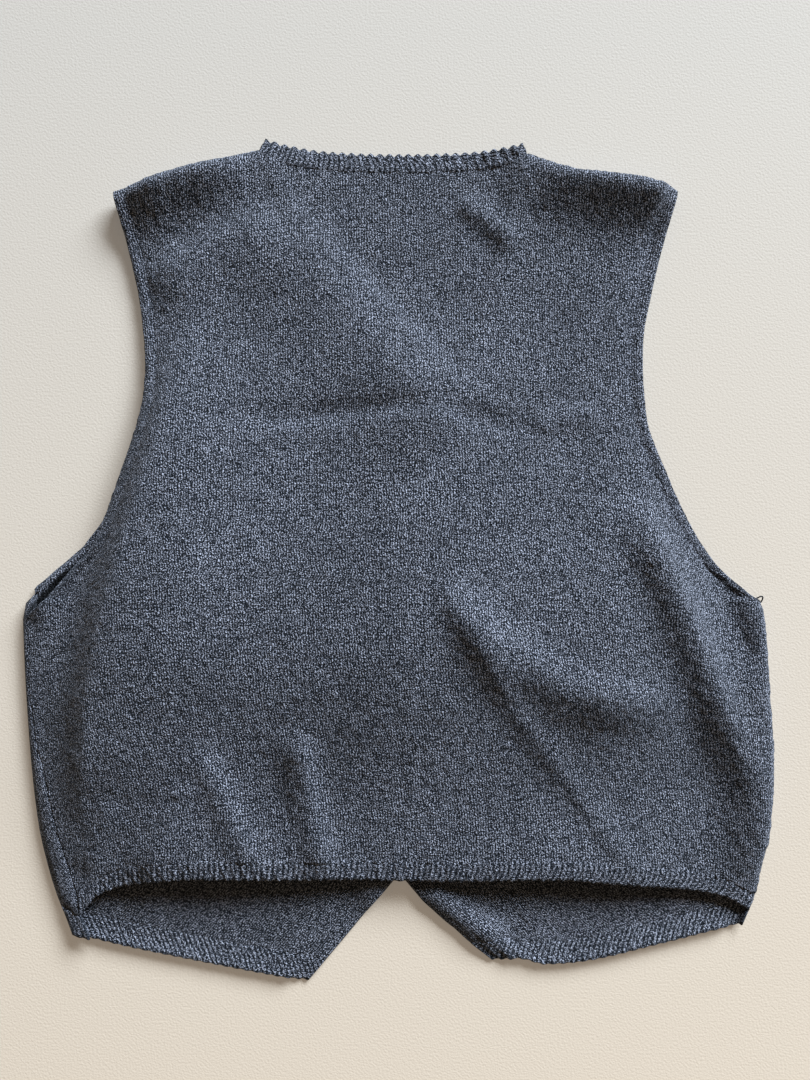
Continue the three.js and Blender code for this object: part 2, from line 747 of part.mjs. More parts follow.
const FRONTS = {
  left: {
    sideX: frontLeftX,
    edgeX: curveThrough(FRONT_LEFT_ROWS, "sideY", "edgeX"),
    edgeY: curveThrough(FRONT_LEFT_ROWS, "sideY", "edgeY"),
    neckX: curveThrough(NECK_LEFT_EDGE, "sideY", "x"),
    neckY: curveThrough(NECK_LEFT_EDGE, "sideY", "y"),
    bow: curveThrough(FRONT_LEFT_BOW, "share", "drop"),
    underZ: frontLeftZ,
    shoulder: SHOULDER_LEFT,
    rows: FRONT_LEFT_ROWS,
    neckFrom: NECK_LEFT_EDGE[0].sideY,
    cornerY: LEFT_FOLD[0].y,
    tip: FRONT_LEFT_TIP,
    wraps: true,
  },
  right: {
    sideX: frontRightX,
    edgeX: curveThrough(FRONT_RIGHT_ROWS, "sideY", "edgeX"),
    edgeY: curveThrough(FRONT_RIGHT_ROWS, "sideY", "edgeY"),
    neckX: curveThrough(NECK_RIGHT_EDGE, "sideY", "x"),
    neckY: curveThrough(NECK_RIGHT_EDGE, "sideY", "y"),
    bow: curveThrough(FRONT_RIGHT_BOW, "share", "drop"),
    underZ: frontRightZ,
    shoulder: SHOULDER_RIGHT,
    rows: FRONT_RIGHT_ROWS,
    neckFrom: NECK_RIGHT_EDGE[0].sideY,
    cornerY: RIGHT_FOLD[0].y,
    tip: FRONT_RIGHT_TIP,
    wraps: false,
  },
};

// Columns of a front near its open edge, where it slopes up to the lap.
const LAP_FULL = 2 * LAP + LAP_MARGIN;
const LAP_INSETS = [LAP_FULL + LAP_SLOPE, LAP_FULL + LAP_SLOPE / 2, LAP_FULL, 1.6 * LAP, LAP, 0];

function frontGrid(front) {
  const first = front.rows[0].sideY;
  const last = front.rows[front.rows.length - 1].sideY;
  const needed = [UNDERARM_Y, front.neckFrom].map((y) => (y - first) / (last - first));
  const up = stops({ count: FRONT_ROWS, size: last - first, endInsets: ROLL_INSETS, needed });
  const topStops = front.wraps ? [1, 0.55, 0.2] : [];
  const turnStops = [0, 0.25, 0.5, 0.75, 1];
  return up.map((v) => {
    const sideY = mix(first, last, v);
    const row = frontRow(front, sideY);
    const length = row.side.distanceTo(row.edge) - SIDE_REACH + TURN_LENGTH;
    const wrap = front.wraps ? Math.max(LEAST_WRAP, wrapOnTop(sideY)) : 0;
    const paths = [
      ...topStops.map((share) => -wrap * share),
      ...turnStops.map((share) => share * TURN_LENGTH),
      ...evenStops(FRONT_COLUMNS).slice(1).map((t) => mix(TURN_LENGTH, length - LAP_INSETS[0], t)),
      ...LAP_INSETS.slice(1).map((inset) => length - inset),
    ];
    return paths.map((path) => {
      const drop = hemDrop(front, row, path, v) - shoulderBow(front, row, path, v);
      return frontPoint(front, row, path, -wrap, drop);
    });
  });
}

// The hem's bow dies out up the front.
function hemDrop(front, row, path, v) {
  const share = clamp01(path / row.side.distanceTo(row.edge));
  return front.bow(share) * (1 - smoothstep(0, HEM_BOW_REACH, v));
}

// The shoulder's bow above a straight row dies out down the front.
function shoulderBow(front, row, path, v) {
  const share = clamp01(path / row.side.distanceTo(row.edge));
  const top = frontRow(front, front.rows[front.rows.length - 1].sideY);
  const { x, y } = top.side.lerp(top.edge, share);
  return (lineY(front.shoulder, x) - y) * smoothstep(SHOULDER_BOW_FROM, 1, v);
}

function frontHemGrid(front, panel) {
  const row = {
    side: new THREE.Vector2(front.sideX(front.cornerY), front.cornerY),
    edge: new THREE.Vector2(front.tip.x, front.tip.y),
  };
  const wrap = front.wraps ? wrapOnTop(front.rows[0].sideY) : 0;
  const length = row.side.distanceTo(row.edge) - SIDE_REACH + TURN_LENGTH;
  const edge = (along) => {
    const path = mix(-wrap, length, along);
    return frontPoint(front, row, path, -wrap, hemDrop(front, row, path, 0));
  };
  const columns = ribColumns(length + wrap, RIB_PITCH);
  return bandGrid({ seam: panel[0], edge, columns, shares: [1, 0] });
}

function frontNeckGrid(front, panel) {
  const last = front.rows[front.rows.length - 1].sideY;
  const openEdge = panel.map((row) => row[row.length - 1]);
  const seam = openEdge.filter(({ y }) => y > front.edgeY(front.neckFrom) - SEAM);
  const edge = (along) => {
    const sideY = mix(front.neckFrom, last, along);
    const [x, y] = [front.neckX(sideY), front.neckY(sideY)];
    return new THREE.Vector3(x, y, front.underZ(x, y));
  };
  return bandGrid({ seam, edge, columns: NECK_BAND_COLUMNS, shares: [0, 1], height: front.underZ });
}

// The back's wall. Where it ends at a fold, its end face lies level in the fold's outermost line.
function backWall(grid, ribbed = false) {
  const inner = movedGrid(grid, -WALL);
  inner.forEach((row, j) =>
    row.forEach((p, i) => {
      p.z = Math.max(p.z, foldFloorZ(grid[j][i]));
    }),
  );
  return wallGeometry(ribbed ? withRibs(grid, 1) : grid, inner);
}

function foldFloorZ({ x, y }) {
  if (toShoulderFold(x, y) < SHOULDER_REACH) return SHOULDER_SEAM_Z + SEAM;
  if (rightFoldX(y) - x < SIDE_REACH && y < UNDERARM_Y) return SIDE_SEAM_Z + SEAM;
  return -Infinity;
}

// A front's wall. Its outer face lies on the floor, so its ribs are raised on the face towards the back.
function frontWall(grid, inwards, ribbed = false) {
  const inner = movedGrid(grid, WALL * inwards);
  inner.forEach((row, j) =>
    row.forEach((p, i) => {
      p.z = Math.min(p.z, foldCeilingZ(grid[j][i]));
    }),
  );
  return wallGeometry(grid, ribbed ? withRibs(inner, inwards) : inner);
}

function foldCeilingZ({ x, y }) {
  if (toShoulderFold(x, y) < SHOULDER_REACH) return SHOULDER_SEAM_Z;
  if (rightFoldX(y) - x < SIDE_REACH) return SIDE_SEAM_Z;
  return Infinity;
}

function buttonGeometry() {
  const { radius, thickness, holeRadius, holeOffset } = BUTTON;
  const disc = new THREE.Shape().absarc(0, 0, radius, 0, Math.PI * 2);
  [0, 1, 2, 3].forEach((quarter) => {
    const angle = (quarter + 0.5) * (Math.PI / 2);
    const centre = new THREE.Vector2(holeOffset * Math.cos(angle), holeOffset * Math.sin(angle));
    const rim = evenStops(6).slice(1).map((turn) => {
      const around = new THREE.Vector2(holeRadius, 0).rotateAround(new THREE.Vector2(), turn * Math.PI * 2);
      return around.add(centre);
    });
    disc.holes.push(new THREE.Path(rim));
  });
  return new THREE.ExtrudeGeometry(disc, { depth: thickness, bevelEnabled: false, curveSegments: 12 });
}

const yarn = new THREE.MeshStandardMaterial({ color: YARN_COLOUR, roughness: 0.95, metalness: 0 });
const horn = new THREE.MeshStandardMaterial({ color: BUTTON_COLOUR, roughness: 0.4, metalness: 0 });
const vest = new THREE.Group();

function addPiece(name, geometry, material = yarn) {
  const mesh = new THREE.Mesh(geometry, material);
  mesh.name = name;
  vest.add(mesh);
  return mesh;
}

const back = backGrid();
const left = frontGrid(FRONTS.left);
const right = frontGrid(FRONTS.right);
addPiece("back", backWall(back));
addPiece("back_hem_rib", backWall(backHemGrid(back), true));
addPiece("neck_rib", backWall(neckGrid(back), true));
addPiece("front_left", frontWall(left, 1));
addPiece("front_left_hem_rib", frontWall(frontHemGrid(FRONTS.left, left), 1, true));
addPiece("front_left_neck_rib", frontWall(frontNeckGrid(FRONTS.left, left), -1));
addPiece("front_right", frontWall(right, -1));
addPiece("front_right_hem_rib", frontWall(frontHemGrid(FRONTS.right, right), -1, true));
addPiece("front_right_neck_rib", frontWall(frontNeckGrid(FRONTS.right, right), 1));
BUTTON.rows.forEach((y, i) => {
  addPiece(`button_${i + 1}`, buttonGeometry(), horn).position.set(frontCentreX(y), y, 0);
});

export default vest;
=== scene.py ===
"""The looks of a knitted button-front vest that lies on its fronts, back up.

Shapes are worked out in millimetres, in the part's own frame, and made into meshes in metres.
"""
import math

import bmesh
import bpy
import numpy as np
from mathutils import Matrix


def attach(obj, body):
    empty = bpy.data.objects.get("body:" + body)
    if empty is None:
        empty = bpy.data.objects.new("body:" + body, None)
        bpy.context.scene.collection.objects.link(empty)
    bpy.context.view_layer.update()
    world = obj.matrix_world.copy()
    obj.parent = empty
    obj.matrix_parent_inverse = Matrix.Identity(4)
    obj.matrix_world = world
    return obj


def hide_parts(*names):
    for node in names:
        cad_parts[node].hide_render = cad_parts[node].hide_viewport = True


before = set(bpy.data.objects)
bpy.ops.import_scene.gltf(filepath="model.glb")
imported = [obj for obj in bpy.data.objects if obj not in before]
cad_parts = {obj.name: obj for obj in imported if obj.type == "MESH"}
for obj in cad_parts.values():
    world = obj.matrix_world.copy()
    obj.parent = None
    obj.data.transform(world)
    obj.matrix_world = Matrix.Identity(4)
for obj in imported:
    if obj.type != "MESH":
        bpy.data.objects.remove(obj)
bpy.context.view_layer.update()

MM = 0.001
SEED = 11

# Cloth
WALL = 2.0
KNIT_THICKNESS = 1.7  # the visible cloth, within its wall
WALE = 3.4  # width of a column of stitches
COURSE = 2.5  # height of a row of stitches
RIB_PITCH = 6.8
RIB_STEPS = 10  # columns of a band's grid for each rib
RIB_RELIEF = 0.26
RIB_SHARPNESS = 0.7  # below 1, the ribs are boxy
RIB_MEAN = 0.1  # how far the ribs stand out on the whole, as a share of their relief
RIB_FADE_IN = (0.1, 0.75)  # shares of a band's depth where the ribs begin and are full
BAND_SINK = 0.9  # how deep a band starts under its panel's face
BAND_RAISE = 0.28  # how far it stands over that face at its most
BAND_RISE_END = 0.14  # the share of its depth by which it has come up
BAND_FLAT_FROM = 0.4  # the share from which it goes back down to its edge
BAND_LAP = 2.6  # how far a back band reaches under its panel, so that no groove shows
HEM_SEAM_ROW = 1  # the row of a front panel that its hem's band starts from
# How far a front hem's edge curls up, with places as shares of the hem's length
HEM_CURL = {"height": 3.0, "starts": 0.02, "full": 0.12, "full_until": 0.9, "ends": 0.98}
TOOTH = 0.3  # how far the ribs' ends stand out of a band's edge
NECK_RIB_GAIN = 2.8  # the neck's ribs and teeth, as a multiple of the hems'
BACK_HEM_DEPTH = 11.0
FOLD_GAP = 0.06  # half of what is left between back and front at a fold
NUB = 0.16  # uneven yarn, as a spread of the surface's height
EDGE_ROUND = 0.45  # how far a cloth's rounded edge stands out past its faces

# How the layers lie
SEAM = 0.3
BASE_AIR = 2.0
LEAST_AIR = 0.45
SIDE_SEAM_Z = 4.5
SIDE_REACH = 6.0
SHOULDER_SEAM_Z = 7.0
SHOULDER_REACH = 9.0
UNDERARM_Y = -25.0
UNDERARM_EASE = 9.0
BACK_CORNER_Y = -29.5
NOTCH = (-2.0, -211.0)
V_POINT = (37.5, 99.0)
LAP = 12.0
LAP_MARGIN = 2.5
LAP_SLOPE = 16.0
BUTTON_THICKNESS = 1.6
BUTTON_COUNT = 4
UNDER_LAP_Z = BUTTON_THICKNESS + SEAM
OVER_LAP_Z = UNDER_LAP_Z + WALL + 1.5 * SEAM
LAP_HILL_WIDTH = 55.0
V_EDGE_RUN = 14.0
LAP_ENDS = {"below_hem": -238.0, "above_hem": -216.0, "below_neck": 108.0, "above_neck": 126.0}
HILL_END = {"below_neck": 100.0, "above_neck": 175.0}
SHOULDER_ROLL = {"crest": 2.5, "height": 14.5, "outer_width": 12.0, "inner_width": 24.0}
SHOULDER_ROLL_END = {"from": 0.45, "to": 0.85, "loss": 0.75}  # how it dies out towards the neck
SHOULDER_TIP = {"loss": 0.5, "reach": 0.2}
LEFT_SIDE_ROLL = {"inset": 19.0, "width": 18.0, "height": 2.4}
RIGHT_SIDE_ROLL = {"inset": 8.0, "width": 20.0, "height": 8.5}
SIDE_ROLL_FOOT = {"none": -228.0, "full": -165.0}
SIDE_ROLL_TOP = {"full": UNDERARM_Y - 20, "none": UNDERARM_Y + 40}
ARMHOLE_SINK = {"share": 0.7, "width": 15.0}  # how much of the air is gone at an armhole's edge
LEAST_WRAP = 0.6  # how far the left front reaches onto the back where it barely does
HEM_BOW_REACH = 0.3
SHOULDER_BOW_FROM = 0.6


def table(columns, rows):
    """The columns of a table by name."""
    return {name: np.array([row[i] for row in rows]) for i, name in enumerate(columns.split())}


LEFT_FOLD_ROWS = [
    (-244, -212.5),
    (-229, -219.2),
    (-209, -226.4),
    (-170, -235.6),
    (-114, -241.5),
    (-52, -245),
    (-31, -245.5),
    (-23, -243.2),
]
RIGHT_FOLD_ROWS = [
    (-238.3, 225.5),
    (-219, 233.7),
    (-197, 238.3),
    (-180, 242.2),
    (-130, 245),
    (-91, 242.8),
    (-52, 240.2),
    (-32, 237.8),
    (-27, 235.6),
]
LEFT_FOLD = table("y x", LEFT_FOLD_ROWS)
RIGHT_FOLD = table("y x", RIGHT_FOLD_ROWS)
BACK_LEFT_EDGE = table("y x", [
    (-230.4, -207),
    (-219.4, -208),
    (-197, -214),
    (-170, -222.5),
    (-140, -229.3),
    (-114, -236),
    (-85, -239.6),
    (-52, -241.2),
    (-36, -240.5),
    (BACK_CORNER_Y, -232.5),
    (-4.7, -210.3),
    (8.3, -198),
    (46, -183),
    (85, -169.9),
    (105, -165.4),
    (124, -164.7),
    (163, -168),
    (202, -175.8),
    (240, -184.9),
])
BACK_RIGHT_EDGE = table("y x", RIGHT_FOLD_ROWS + [
    (-22, 228.2),
    (-3, 207.8),
    (17, 192.9),
    (56, 174.6),
    (95, 161.6),
    (125, 159.8),
    (144, 160.3),
    (173, 165.5),
    (212, 174.6),
    (240.6, 181.8),
])
FRONT_LEFT_EDGE = table("y x", LEFT_FOLD_ROWS + [
    (-13, -231.3),
    (-3, -219),
    (7, -207.4),
    (27, -193.4),
    (46, -184),
    (66, -174),
    (105, -163.4),
    (124, -162.7),
    (163, -166),
    (202, -173.8),
    (240, -184.9),
])
FRONT_RIGHT_EDGE = table("y x", RIGHT_FOLD_ROWS + [
    (-3, 204.5),
    (17, 190),
    (56, 172.2),
    (95, 159.4),
    (144, 158.2),
    (173, 163.4),
    (212, 173),
    (240.6, 181.8),
])
BACK_HEM = table("x y", [
    (-207, -230.4),
    (-195, -217),
    (-173, -209.3),
    (-128, -204.6),
    (-50, -205.6),
    (27, -207),
    (105, -205.8),
    (143, -209),
    (188, -213.6),
    (214, -219.4),
    (229.5, -228),
])
LEFT_TIP, LEFT_CORNER, LEFT_HORN = (-184.9, 240), (-91.4, 267.5), (-86, 273.3)
RIGHT_TIP, RIGHT_CORNER, RIGHT_HORN = (181.8, 240.6), (85.5, 265), (81, 270.6)
SHOULDER_LEFT = [LEFT_TIP, (-158, 249.3), (-136, 256), (-112, 261.8), LEFT_CORNER, LEFT_HORN]
SHOULDER_RIGHT = [RIGHT_TIP, (172, 245.4), (158, 248.9), (115, 254.6), RIGHT_CORNER, RIGHT_HORN]
NECK_SEAM = table("x y", [
    LEFT_CORNER,
    (-79, 261.2),
    (-44, 256.9),
    (1, 255.4),
    (47, 256.8),
    (74, 260),
    RIGHT_CORNER,
])
NECK_EDGE = table("x y", [
    LEFT_HORN,
    (-76, 270.6),
    (-44, 266.8),
    (1, 265.3),
    (47, 266.4),
    (72, 268.8),
    RIGHT_HORN,
])
FRONT_LEFT_ROWS = table("side_y edge_x edge_y", [
    (-229, -49.5, -264.5),
    (-219, -38, -251),
    (-200, -16, -224),
    (-180, 6.5, -195),
    (-150, 15.5, -170),
    (-85, 22.9, -110),
    (-27, 33.3, -27),
    (40, 41.8, 40),
    (76, 47.6, 84),
    (90, 42, 92),
    (105, 30, 104),
    (144, -10, 148),
    (183, -53, 190),
    (210, -82, 224),
    (240, -100, 265.1),
])
FRONT_RIGHT_ROWS = table("side_y edge_x edge_y", [
    (-224, 49.5, -251.2),
    (-214, 37.5, -240.8),
    (-200, 19, -224.3),
    (-182, 0, -203),
    (-165, -9.5, -186),
    (-120, -2, -120),
    (-27, 9.2, -27),
    (40, 17.7, 40),
    (72, 22.2, 78),
    (88, 32, 92),
    (105, 47.3, 98),
    (144, 63, 136),
    (183, 77, 182),
    (212, 87, 228),
    (240.6, 95.5, 261.3),
])
FRONT_LEFT_BOW = table("share drop", [(0, 0), (0.3, 1.4), (0.65, 1), (1, 0)])
FRONT_RIGHT_BOW = table("share drop", [
    (0, 0),
    (0.05, 0.2),
    (0.33, 4.6),
    (0.65, 9),
    (0.8, 7.4),
    (0.92, 0.6),
    (1, 0),
])
NECK_LEFT_EDGE = table("side_y x y", [
    (76, 49, 97),
    (90, 45, 103),
    (105, 38, 112),
    (144, -3, 155),
    (183, -45, 198),
    (210, -73, 231),
    (240, *LEFT_CORNER),
])
NECK_RIGHT_EDGE = table("side_y x y", [
    (72, 24.2, 88),
    (88, 30, 95),
    (105, 40, 105),
    (144, 54, 140),
    (183, 67.5, 186),
    (212, 77.5, 231),
    (240.6, *RIGHT_CORNER),
])


def fold(height, left, right, path):
    """A ridge or, below zero, a trough along a path, with a width for each flank."""
    return {"height": height, "left": left, "right": right, "path": path}


FOLD_END = 0.25  # the share of a fold's path along which it rises from nothing
FOLDS = {
    "shoulder_left": fold(4.5, 13, 26, [(-168, 172), (-120, 205), (-74, 226)]),
    "yoke": fold(6.5, 24, 46, [(-94, 236), (-64, 192), (-16, 138), (20, 98), (42, 80)]),
    "neck_right": fold(3, 8, 8, [(36, 238), (58, 223), (80, 202)]),
    "crease": fold(-2.3, 9, 6, [(-150, 95), (-65, 92.5), (-18, 98), (28, 102), (54, 90), (133, 75)]),
    "crease_ridge": fold(2.4, 7, 9, [(84, 83), (108, 92), (134, 98)]),
    "dome": fold(17, 120, 85, [(-246, -60), (0, -52), (250, -60)]),
    "long_ridge": fold(5.5, 13, 19, [(22, -12), (61, -51), (107, -81), (200, -102)]),
    "long_ridge_foot": fold(2.6, 12, 9, [(24, -6), (50, -50), (76, -94)]),
    "thin_ridge": fold(1.8, 9, 7, [(50, -64), (107, -138), (168, -224)]),
    "side_ridge": fold(9.5, 12, 16, [(146, 48), (174, -12), (195, -60), (236, -172)]),
    "side_trough": fold(-3.5, 9, 9, [(198, 8), (214, -26), (234, -84)]),
    "left_slope": fold(14, 60, 18, [
        (-120, 190),
        (-142, 110),
        (-163, 35),
        (-182, -30),
        (-194, -90),
        (-197, -150),
        (-196, -225),
    ]),
    "flute_left": fold(3, 9, 10, [(-128, -136), (-146, -170), (-168, -212)]),
    "flute_middle": fold(4, 8, 12, [(-130, -116), (-112, -155), (-88, -206)]),
    "flute_right": fold(5, 8, 13, [(-66, -102), (-58, -150), (-46, -212)]),
    "corner_ridge": fold(2.6, 9, 8, [(-178, -150), (-192, -178), (-204, -206)]),
    "underarm_gap": fold(4, 11, 9, [(-243, -40), (-230, -22), (-214, -2), (-188, 34)]),
}
UNDERARM_CURL = fold(3.4, 3.2, 2.6, [
    (-250, -42),
    (-236, -24),
    (-227, -13.5),
    (-215, -4),
    (-203, 7),
    (-186, 34),
])
ARMHOLE_ROLL = {"inset": 3.0, "width": 2.6, "height": 0.9}
ARMHOLE_GROOVE = {"inset": 8.0, "width": 1.5, "height": -0.45}
CUT_EDGE_CURL = fold(5.5, 10, 8, [(76, -250), (52, -240), (30, -222), (14, -205)])
ARCH_POWER = 1.3
ARCHES = table("x half_width height depth", [(-112, 92, 8.5, 42), (112, 102, 6.5, 38)])


def smoothstep(low, high, x):
    t = np.clip((x - low) / (high - low), 0, 1)
    return t * t * (3 - 2 * t)


def mix(a, b, t):
    return a + (b - a) * t


def bell(x):
    return np.exp(-x * x)


def curve_through(rows, at, value):
    """A smooth curve through the rows of a table, which never overshoots them."""
    xs, ys = rows[at].astype(float), rows[value].astype(float)
    rates = np.diff(ys) / np.diff(xs)
    before, after = rates[:-1], rates[1:]
    same_way = before * after > 0
    slopes = np.concatenate([rates[:1], np.zeros(len(before)), rates[-1:]])
    slopes[1:-1][same_way] = (2 * before * after)[same_way] / (before + after)[same_way]

    def curve(x):
        i = np.clip(np.searchsorted(xs, x, side="left") - 1, 0, len(xs) - 2)
        span = xs[i + 1] - xs[i]
        t = np.clip((x - xs[i]) / span, 0, 1)
        t2, t3 = t * t, t * t * t
        start = (2 * t3 - 3 * t2 + 1) * ys[i] + (t3 - 2 * t2 + t) * span * slopes[i]
        return start + (3 * t2 - 2 * t3) * ys[i + 1] + (t3 - t2) * span * slopes[i + 1]

    return curve


left_fold_x = curve_through(LEFT_FOLD, "y", "x")
right_fold_x = curve_through(RIGHT_FOLD, "y", "x")
back_left_x = curve_through(BACK_LEFT_EDGE, "y", "x")
back_right_x = curve_through(BACK_RIGHT_EDGE, "y", "x")
front_left_x = curve_through(FRONT_LEFT_EDGE, "y", "x")
front_right_x = curve_through(FRONT_RIGHT_EDGE, "y", "x")
back_hem_y = curve_through(BACK_HEM, "x", "y")
neck_seam_y = curve_through(NECK_SEAM, "x", "y")
neck_edge_y = curve_through(NECK_EDGE, "x", "y")


def nearest(path, x, y):
    """Distance to a polyline, the side of it that a place is on, and how far along it that is."""
    best = np.full(np.shape(x), np.inf)
    side = np.ones(np.shape(x))
    along = np.zeros(np.shape(x))
    for i, ((ax, ay), (bx, by)) in enumerate(zip(path, path[1:])):
        dx, dy = bx - ax, by - ay
        held = np.clip(((x - ax) * dx + (y - ay) * dy) / (dx * dx + dy * dy), 0, 1)
        distance = np.hypot(x - ax - dx * held, y - ay - dy * held)
        closer = distance < best
        best = np.where(closer, distance, best)
        side = np.where(closer, np.where(dx * (y - ay) - dy * (x - ax) > 0, 1, -1), side)
        along = np.where(closer, (i + held) / (len(path) - 1), along)
    return best, side, along


def fold_height(shape, x, y):
    distance, side, along = nearest(shape["path"], x, y)
    width = np.where(side > 0, shape["left"], shape["right"])
    ends = smoothstep(0, FOLD_END, along) * (1 - smoothstep(1 - FOLD_END, 1, along))
    return shape["height"] * bell(distance / width) * ends


def front_centre_x(y):
    share = np.clip((y - NOTCH[1]) / (V_POINT[1] - NOTCH[1]), 0, 1)
    return mix(NOTCH[0], V_POINT[0], share)


def lap_share(y, top=LAP_ENDS):
    """1 along the buttoned front, falling to 0 past its two ends."""
    low = smoothstep(LAP_ENDS["below_hem"], LAP_ENDS["above_hem"], y)
    return low * (1 - smoothstep(top["below_neck"], top["above_neck"], y))


def inside_v(x, y):
    """How deep a place is inside the open V, below zero outside it."""
    left, left_side, _ = nearest(list(zip(NECK_LEFT_EDGE["x"], NECK_LEFT_EDGE["y"])), x, y)
    right, right_side, _ = nearest(list(zip(NECK_RIGHT_EDGE["x"], NECK_RIGHT_EDGE["y"])), x, y)
    return np.minimum(-left_side * left, right_side * right)


def support_z(x, y):
    """The surface that the back lies on, smoothed as cloth smooths it."""
    hill = (OVER_LAP_Z + SEAM) * bell((x - front_centre_x(y)) / LAP_HILL_WIDTH) * lap_share(y, HILL_END)
    return WALL * (1 - smoothstep(1, V_EDGE_RUN, inside_v(x, y))) + hill


def shoulder_roll(x, y):
    height = 0
    for path in (SHOULDER_LEFT, SHOULDER_RIGHT):
        distance, _, along = nearest(path, x, y)
        outside = distance < SHOULDER_ROLL["crest"]
        width = np.where(outside, SHOULDER_ROLL["outer_width"], SHOULDER_ROLL["inner_width"])
        end = smoothstep(SHOULDER_ROLL_END["from"], SHOULDER_ROLL_END["to"], along)
        tip = 1 - smoothstep(0, SHOULDER_TIP["reach"], along)
        share = 1 - SHOULDER_ROLL_END["loss"] * end - SHOULDER_TIP["loss"] * tip
        height = height + SHOULDER_ROLL["height"] * share * bell((distance - SHOULDER_ROLL["crest"]) / width)
    return height


def arch_lift(x, y):
    lift = 0
    for middle, half_width, height, depth in zip(*ARCHES.values()):
        across = np.clip(1 - ((x - middle) / half_width) ** 2, 0, 1)
        lift = lift + height * across**ARCH_POWER * bell((y - back_hem_y(x)) / depth)
    return lift


def armhole_ease(x, y):
    inset = np.minimum(x - back_left_x(y), back_right_x(y) - x)
    ease = 1 - ARMHOLE_SINK["share"] * bell(inset / ARMHOLE_SINK["width"])
    return np.where(y < UNDERARM_Y, 1, ease)


def side_roll_height(roll, distance):
    return roll["height"] * bell((distance - roll["inset"]) / roll["width"])


def armhole_edge(x, y):
    """The rolled stitches and the groove that follow an armhole's edge."""
    inset = np.minimum(x - back_left_x(y), back_right_x(y) - x)
    height = side_roll_height(ARMHOLE_ROLL, inset) + side_roll_height(ARMHOLE_GROOVE, inset)
    return height * smoothstep(BACK_CORNER_Y, UNDERARM_Y + UNDERARM_EASE, y)


def open_back_z(x, y):
    sides = side_roll_height(LEFT_SIDE_ROLL, x - left_fold_x(y))
    foot = smoothstep(SIDE_ROLL_FOOT["none"], SIDE_ROLL_FOOT["full"], y)
    sides = sides + side_roll_height(RIGHT_SIDE_ROLL, right_fold_x(y) - x) * foot
    sides = sides * smoothstep(SIDE_ROLL_TOP["none"], SIDE_ROLL_TOP["full"], y)
    folds = sum(fold_height(shape, x, y) for shape in FOLDS.values())
    folds = folds + armhole_edge(x, y)
    air = BASE_AIR * armhole_ease(x, y) + shoulder_roll(x, y) + arch_lift(x, y) + folds + sides
    return support_z(x, y) + WALL + np.maximum(LEAST_AIR, air)


def roll_share(distance, reach):
    """The share of its full height that a rolled edge reaches, a distance in from the fold."""
    t = 1 - np.clip(distance / reach, 0, 1)
    return np.sqrt(1 - t * t)


def folded_share(y):
    """1 where the sides are folded, 0 up at the armholes."""
    return 1 - smoothstep(UNDERARM_Y - UNDERARM_EASE, UNDERARM_Y + UNDERARM_EASE, y)


def to_shoulder_fold(x, y):
    return np.minimum(nearest(SHOULDER_LEFT, x, y)[0], nearest(SHOULDER_RIGHT, x, y)[0])


def back_z(x, y):
    inset = np.minimum(x - left_fold_x(y), right_fold_x(y) - x)
    side_roll = mix(1, roll_share(inset, SIDE_REACH), folded_share(y))
    z = mix(SIDE_SEAM_Z + FOLD_GAP, open_back_z(x, y), side_roll)
    return mix(SHOULDER_SEAM_Z + FOLD_GAP, z, roll_share(to_shoulder_fold(x, y), SHOULDER_REACH))


def shoulder_turn(x, y, z, path):
    roll = roll_share(nearest(path, x, y)[0], SHOULDER_REACH)
    return mix(SHOULDER_SEAM_Z - FOLD_GAP, z, roll)


def front_left_z(x, y):
    full = front_centre_x(y) - LAP - LAP_MARGIN
    lap = smoothstep(full - LAP_SLOPE, full, x) * lap_share(y)
    z = OVER_LAP_Z * lap + fold_height(UNDERARM_CURL, x, y)
    return shoulder_turn(x, y, z, SHOULDER_LEFT)


def front_right_z(x, y):
    full = front_centre_x(y) + LAP + LAP_MARGIN
    lap = (1 - smoothstep(full, full + LAP_SLOPE, x)) * lap_share(y)
    z = UNDER_LAP_Z * lap + fold_height(CUT_EDGE_CURL, x, y)
    return shoulder_turn(x, y, z, SHOULDER_RIGHT)


def shoulder_y(path, x):
    """Where a shoulder's line runs between its tip and the neck's corner, short of the horn."""
    points = sorted(path[:-1])
    return np.interp(x, [p[0] for p in points], [p[1] for p in points])


def back_top_y(x):
    y = np.where(x < LEFT_CORNER[0], shoulder_y(SHOULDER_LEFT, x), neck_seam_y(x))
    return np.where(x > RIGHT_CORNER[0], shoulder_y(SHOULDER_RIGHT, x), y)


# Grids of points: an array of rows, columns and x, y, z.
def normals(grid):
    across = np.gradient(grid, axis=1)
    up = np.gradient(grid, axis=0)
    normal = np.cross(across, up)
    length = np.linalg.norm(normal, axis=2, keepdims=True)
    return normal / np.maximum(length, 1e-9)


def rolled_stops(count, size, start=True, end=True, reach=11.0, extra=7):
    """Even shares of a length, with closer ones by the ends where the cloth rolls over."""
    close = reach / size * (np.arange(extra) / extra) ** 1.6
    first = reach / size if start else 0.0
    last = 1 - reach / size if end else 1.0
    middle = np.linspace(first, last, count + 1)
    parts = ([close] if start else []) + [middle] + ([1 - close[::-1]] if end else [])
    return np.concatenate(parts)


